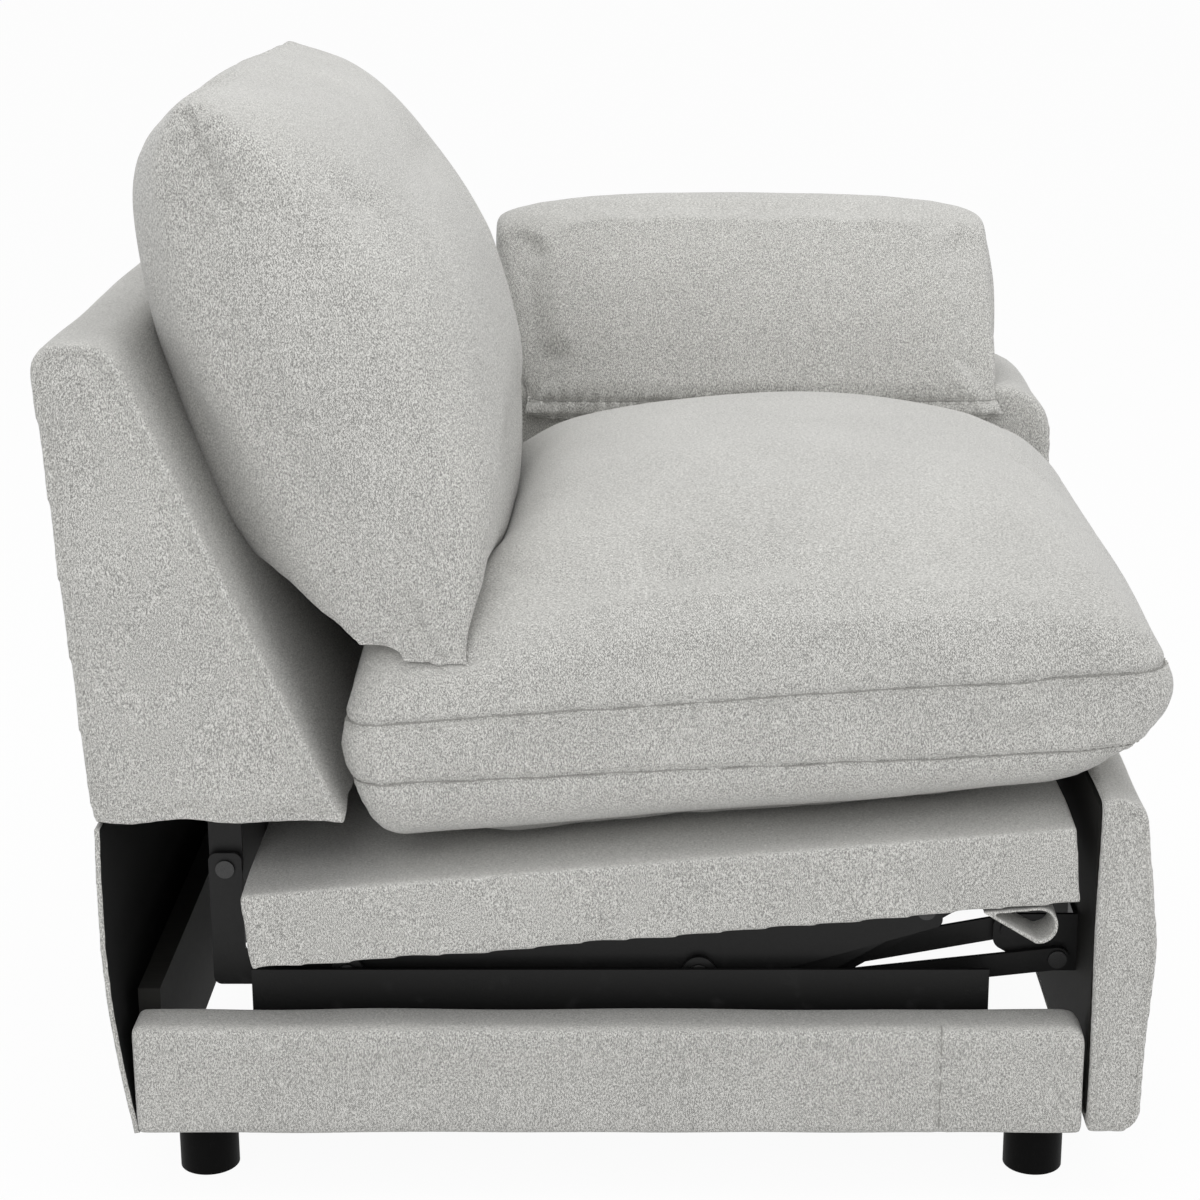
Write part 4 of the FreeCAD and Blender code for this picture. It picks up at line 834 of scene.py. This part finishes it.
# %% [markdown]
# ## Arm pillow
# A firm pad sits over the arm and hangs a lip on its inner side. Two rows of sewing close its lower edge.
# The simulation draws its corners in, so they are held out again as foam would hold them.

# %% Arm pillow
PILLOW_VOXEL = 0.005
PILLOW_PUSH, PILLOW_LIFT = 0.013, 0.005
PILLOW_FOOT, PILLOW_BLEND = 0.60, 0.15


def square_up(points):
    """Firm foam holds the upper corners of the pad out, so that it stays a box."""
    low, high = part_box("arm_pillow")
    from_middle = points[:, 1] - (low.y + high.y) / 2
    end_share = np.clip(np.abs(from_middle) / (high.y - low.y) * 5 - 1.5, 0, 1)
    up_share = np.clip((points[:, 2] - PILLOW_FOOT) / PILLOW_BLEND, 0, 1)
    points[:, 1] += np.sign(from_middle) * PILLOW_PUSH * end_share * up_share
    points[:, 2] += PILLOW_LIFT * up_share
    return points


arm_pillow = skin("arm_pillow_soft", "arm_pillow", PILLOW_VOXEL, rounds=10)
plump(arm_pillow, start_in=0.005, cap_out=0.008, cap_in=0.001, cap_any=0.020)
smoothed(arm_pillow, rounds=5)
put_points(arm_pillow, square_up(points_of(arm_pillow.data)))
finer(arm_pillow)
ripple(arm_pillow, height=0.002, length=0.14, seed=7)

# %% Arm pillow hems
HEM_HEIGHTS = (0.573, 0.591)
HEM_POINTS = 200
HEM_SINK = 0.002
hem_reach = np.linspace(-0.410, 0.100, HEM_POINTS)
pillow_skin = tree_of(arm_pillow)
hems = []
for height in HEM_HEIGHTS:
    starts = np.stack([np.full(HEM_POINTS, -FAR), hem_reach, np.full(HEM_POINTS, height)], 1)
    hems.append(cast(pillow_skin, starts, np.tile((1.0, 0, 0), (HEM_POINTS, 1))))
for number, line in enumerate(hems):
    press(arm_pillow, line, reach=0.007, depth=0.0026, pucker=0.0009, pucker_reach=0.02, seed=number + 51)
dress(arm_pillow, tweed, "base", ["arm_pillow"])
for number, line in enumerate(hems):
    # A dark tube in each hem valley: painted shade. The stitches are real thread.
    valley(f"pillow_hem_seam_shade_{number}", tree_of(arm_pillow), line, "base", HEM_SINK)
    stitches(f"pillow_hem_stitches_{number}", tree_of(arm_pillow), line, "base", offset=0.003)

# %% [markdown]
# ## Covered panels
# The arm, the back frame, the seat box, the side rail and the footrest are boards under foam and cloth.
# They are firm, so a soft skin with slow swells is enough and needs no simulation.

# %% Covered panels
PANELS = [
    ("arm_cover_soft", "arm_cover", "base", 0.006, 11),
    ("back_cover_soft", "back_cover", "back", 0.005, 12),
    ("seat_box_soft", "seat_box_cover", "seat", 0.0036, 13),
    ("side_rail_soft", "side_rail_cover", "base", 0.0045, 14),
    ("footrest_soft", "footrest_pad", "footrest", 0.0045, 15),
]
SEAT_PITCH = 5
BOX_HEM_REACH, BACK_HEM_REACH = 0.018, 0.02
panels = {}
for piece_name, node_name, body, voxel, seed in PANELS:
    panel = skin(piece_name, node_name, voxel, rounds=5)
    ripple(panel, height=0.0018, length=0.12, seed=seed)
    panels[node_name] = panel


def near_box_hem(points):
    """How near points are to the raw lower edge of the tilted seat box."""
    low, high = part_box("seat_box_cover")
    up = points[:, 2] - low.z - (high.y - points[:, 1]) * math.tan(math.radians(SEAT_PITCH))
    return np.exp(-((up / BOX_HEM_REACH) ** 2))


def near_back_hem(points):
    return np.exp(-(((points[:, 2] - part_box("back_cover")[0].z) / BACK_HEM_REACH) ** 2))


ripple(panels["seat_box_cover"], height=0.0016, length=0.06, seed=16, mask=near_box_hem)
ripple(panels["back_cover"], height=0.005, length=0.05, seed=17, mask=near_back_hem)
print("panels", list(panels))

# %% [markdown]
# ## Seams of the panels
# Each end panel is sewn in just inside its outline, and one upright seam joins the cloth of the side rail.
# Black lining shows where the covers turn inwards.

# %% Seams of the panels
PANEL_SEAM = {"reach": 0.008, "depth": 0.002, "pucker": 0.0005, "pucker_reach": 0.02}
RAIL_SINK = 0.0015
PANEL_STITCH = 0.004
back_panel = panels["back_cover"]
back_centre = (-0.43, 0.37, 0.55)
back_edge = panel_edge(tree_of(back_panel), back_centre, level=-0.432, inset=0.012, axis=0, side=-1)
press(back_panel, back_edge, seed=21, **PANEL_SEAM)
side_rail = panels["side_rail_cover"]
RAIL_SEAM_Y = -0.292
RAIL_POINTS = 60
rail_heights = np.linspace(0.064, 0.186, RAIL_POINTS)
rail_starts = np.stack([np.full(RAIL_POINTS, -FAR), np.full(RAIL_POINTS, RAIL_SEAM_Y), rail_heights], 1)
rail_seam = cast(tree_of(side_rail), rail_starts, np.tile((1.0, 0, 0), (RAIL_POINTS, 1)))
press(side_rail, rail_seam, reach=0.008, depth=0.002, pucker=0.0006, pucker_reach=0.02, seed=22)
arm_panel = panels["arm_cover"]
arm_centre = (0.341, -0.46, 0.35)
arm_edge = panel_edge(tree_of(arm_panel), arm_centre, level=-0.462, inset=0.012, axis=1, side=-1)
press(arm_panel, arm_edge, seed=23, **PANEL_SEAM)
foot_panel = panels["footrest_pad"]
foot_centre = (-0.43, -0.452, 0.22)
foot_edge = panel_edge(tree_of(foot_panel), foot_centre, level=-0.432, inset=0.009, axis=0, side=-1)
press(foot_panel, foot_edge, reach=0.007, depth=0.0018, pucker=0.0005, pucker_reach=0.018, seed=24)
for _, node_name, body, _, _ in PANELS:
    dress(panels[node_name], tweed, body, [node_name])

# %% Linings and thread of the panels
ARM_LINED_HEIGHT = 0.41


def line_with_black(piece, chosen):
    """Shows the black lining on the faces that chosen picks by their centre and direction."""
    piece.data.materials.append(lining.material)
    for polygon in piece.data.polygons:
        if chosen(polygon.center, polygon.normal):
            polygon.material_index = 1


box_low, box_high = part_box("seat_box_cover")
box_middle = (box_low + box_high) / 2
line_with_black(panels["seat_box_cover"], lambda spot, way: way.dot(box_middle - spot) > 0 and way.z < 0.5)
line_with_black(panels["arm_cover"], lambda spot, way: way.x < -0.7 and spot.z < ARM_LINED_HEIGHT)
line_with_black(panels["back_cover"], lambda spot, way: way.z < -0.8)
# A dark tube in the valley of the rail seam: painted shade.
valley("rail_seam", tree_of(side_rail), rail_seam, "base", RAIL_SINK)
stitches("back_edge_stitches", tree_of(back_panel), back_edge, "back", PANEL_STITCH)
stitches("rail_seam_stitches", tree_of(side_rail), rail_seam, "base", PANEL_STITCH)
stitches("arm_edge_stitches", tree_of(arm_panel), arm_edge, "base", PANEL_STITCH)
stitches("foot_edge_stitches", tree_of(foot_panel), foot_edge, "footrest", PANEL_STITCH)

# %% [markdown]
# ## Lined skirt and curled ends
# The lower rear is closed by a hanging cloth with a black lining, raw at its side edge.
# It is a grid that follows the solid's outer face, thickened into a layer of tweed and one of lining.
# Two loose ends of the cover curl up under the front of the seat box.

# %% Lined skirt
SKIRT_ACROSS, SKIRT_UP = 120, 60
SKIRT_THICKNESS = 0.0045
SKIRT_SIDE, SKIRT_INSET, SKIRT_END = 0.003, 0.0025, 0.001
FRAY, FRAY_FINENESS, FRAY_FADE = 0.0025, 60, 12
HANG_WAVE = 0.0018
SKIRT_REACH = 0.008
skirt_low, skirt_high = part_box("rear_skirt")
skirt_high.x += SKIRT_REACH
skirt_tree = tree_of(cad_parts["rear_skirt"])
middle_x = (skirt_low.x + skirt_high.x) / 2
heights = np.linspace(skirt_low.z + SKIRT_END, skirt_high.z - SKIRT_END, SKIRT_UP + 1)
verts, faces = [], []
for z in heights:
    outer = skirt_tree.ray_cast(Vector((middle_x, FAR, z)), Vector((0, -1, 0)))[0]
    for step in range(SKIRT_ACROSS + 1):
        share = step / SKIRT_ACROSS
        x = skirt_low.x + (skirt_high.x - skirt_low.x) * share
        fray = noise.noise(Vector((0, 0, z * FRAY_FINENESS))) * FRAY * max(0, 1 - share * FRAY_FADE)
        wave = noise.noise(Vector((x * 5, 1, z * 7))) * HANG_WAVE
        verts.append((x + SKIRT_SIDE + fray, outer.y - SKIRT_INSET + wave, z))
for row in range(SKIRT_UP):
    for step in range(SKIRT_ACROSS):
        corner = row * (SKIRT_ACROSS + 1) + step
        faces.append((corner, corner + SKIRT_ACROSS + 1, corner + SKIRT_ACROSS + 2, corner + 1))
skirt_mesh = bpy.data.meshes.new("rear_skirt_soft")
skirt_mesh.from_pydata(verts, [], faces)
skirt = new_piece("rear_skirt_soft", skirt_mesh)
dress(skirt, tweed, "base", ["rear_skirt"])
skirt.data.materials.append(lining.material)
layers = skirt.modifiers.new("layers", "SOLIDIFY")
layers.thickness = SKIRT_THICKNESS
layers.offset = -1
layers.material_offset = 1
layers.material_offset_rim = 0
settle(skirt)

# %% Curled ends
curls = skin("cover_curls", "cover_rolls", voxel=0.0014, rounds=2)
ripple(curls, height=0.001, length=0.03, seed=31)
dress(curls, tweed, "seat", ["cover_rolls"])

# %% [markdown]
# ## Webbing
# Five straps are stretched from front to rear over the seat frame and sag a little between its boards.

# %% Webbing
STRAP_ACROSS, STRAP_ALONG = 6, 40
STRAP_THICKNESS = 0.0028
STRAP_SAG = 0.003
work = bmesh.new()
work.from_mesh(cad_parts["seat_webbing"].data)
bmesh.ops.remove_doubles(work, verts=work.verts, dist=MERGE)
verts, faces = [], []
strap_width, strap_length = 0.0, 0.0
for shell in islands(work):
    corners = np.array(sorted((tuple(vertex.co) for vertex in shell), key=lambda corner: corner[1]))
    half = len(corners) // 2
    front, rear = corners[:half].mean(0), corners[half:].mean(0)
    width = np.ptp(corners[:, 0])
    strap_width += width
    strap_length = np.linalg.norm(rear - front)
    first = len(verts)
    for row in range(STRAP_ALONG + 1):
        share = row / STRAP_ALONG
        middle = front + (rear - front) * share
        sag = STRAP_SAG * 4 * share * (1 - share)
        for step in range(STRAP_ACROSS + 1):
            verts.append((middle[0] + width * (step / STRAP_ACROSS - 0.5), middle[1], middle[2] - sag))
    for row in range(STRAP_ALONG):
        for step in range(STRAP_ACROSS):
            corner = first + row * (STRAP_ACROSS + 1) + step
            faces.append((corner, corner + 1, corner + STRAP_ACROSS + 2, corner + STRAP_ACROSS + 1))
work.free()
strap_mesh = bpy.data.meshes.new("seat_webbing_soft")
strap_mesh.from_pydata(verts, [], faces)
straps = new_piece("seat_webbing_soft", strap_mesh)
dress(straps, strap_cloth.material, "seat", ["seat_webbing"])
layers = straps.modifiers.new("layers", "SOLIDIFY")
layers.thickness = STRAP_THICKNESS
layers.offset = 0
settle(straps)

# %% [markdown]
# ## Floor and light
# A pale floor and a bright even world stand for a white studio. The floor keeps a soft shadow,
# and large lamps above and beside the camera give the cushions their gentle shading.

# %% Floor and light
FLOOR_REACH = 20
FLOOR_SHOWN = 0.95
floor_corners = [(x * FLOOR_REACH, y * FLOOR_REACH, 0) for x, y in ((-1, -1), (1, -1), (1, 1), (-1, 1))]
floor_mesh = bpy.data.meshes.new("floor")
floor_mesh.from_pydata(floor_corners, [], [(0, 1, 2, 3)])
floor = new_piece("floor", floor_mesh)
pale = Finish("pale_floor", Roughness=0.9, Specular_IOR_Level=0.0)
pale.coat(Base_Color=grey(0.82))
seen = pale.node("LightPath", out="Is Camera Ray")
mirrored = pale.node("LightPath", out="Is Glossy Ray")
shown = seen.math("MAXIMUM", seen, mirrored) * FLOOR_SHOWN
lit = Value(pale.tree, pale.shader.outputs[0])
surface = pale.node("MixShader", {0: shown, 1: lit, 2: pale.node("Emission")})
plug(pale.tree, pale.tree.nodes["Material Output"].inputs["Surface"], surface)
floor.data.materials.append(pale.material)
print("floor", FLOOR_REACH * 2, "m wide")

# %% World and lamps
WORLD_LIGHT = 0.66
world = bpy.data.worlds.new("studio")
world.use_nodes = True
bpy.context.scene.world = world
sky = world.node_tree
direct, shiny, through = [
    add_node(sky, "LightPath", out=f"Is {ray} Ray") for ray in ("Camera", "Glossy", "Transmission")
]
white = direct.math("MAXIMUM", direct, direct.math("MAXIMUM", shiny, through))
plug(sky, sky.nodes["Background"].inputs["Strength"], white * (1 - WORLD_LIGHT) + WORLD_LIGHT)
sky.nodes["Background"].inputs["Color"].default_value = (1, 1, 1, 1)

LAMPS = [
    ("overhead", (0.1, -0.2, 3.2), (0, 0, 0.4), 2.6, 36),
    ("camera_side", (-3.2, 0.9, 2.2), (0, 0, 0.5), 2.2, 31),
    ("front_side", (-1.2, -3.0, 2.0), (0, 0, 0.5), 2.0, 14),
]
for lamp_name, spot, aim, size, power in LAMPS:
    lamp_data = bpy.data.lights.new(lamp_name, "AREA")
    lamp_data.shape = "SQUARE"
    lamp_data.size = size
    lamp_data.energy = power
    lamp = bpy.data.objects.new(lamp_name, lamp_data)
    lamp.location = spot
    lamp.rotation_euler = (Vector(aim) - Vector(spot)).to_track_quat("-Z", "Y").to_euler()
    bpy.context.scene.collection.objects.link(lamp)
print("lamps", [lamp[0] for lamp in LAMPS])
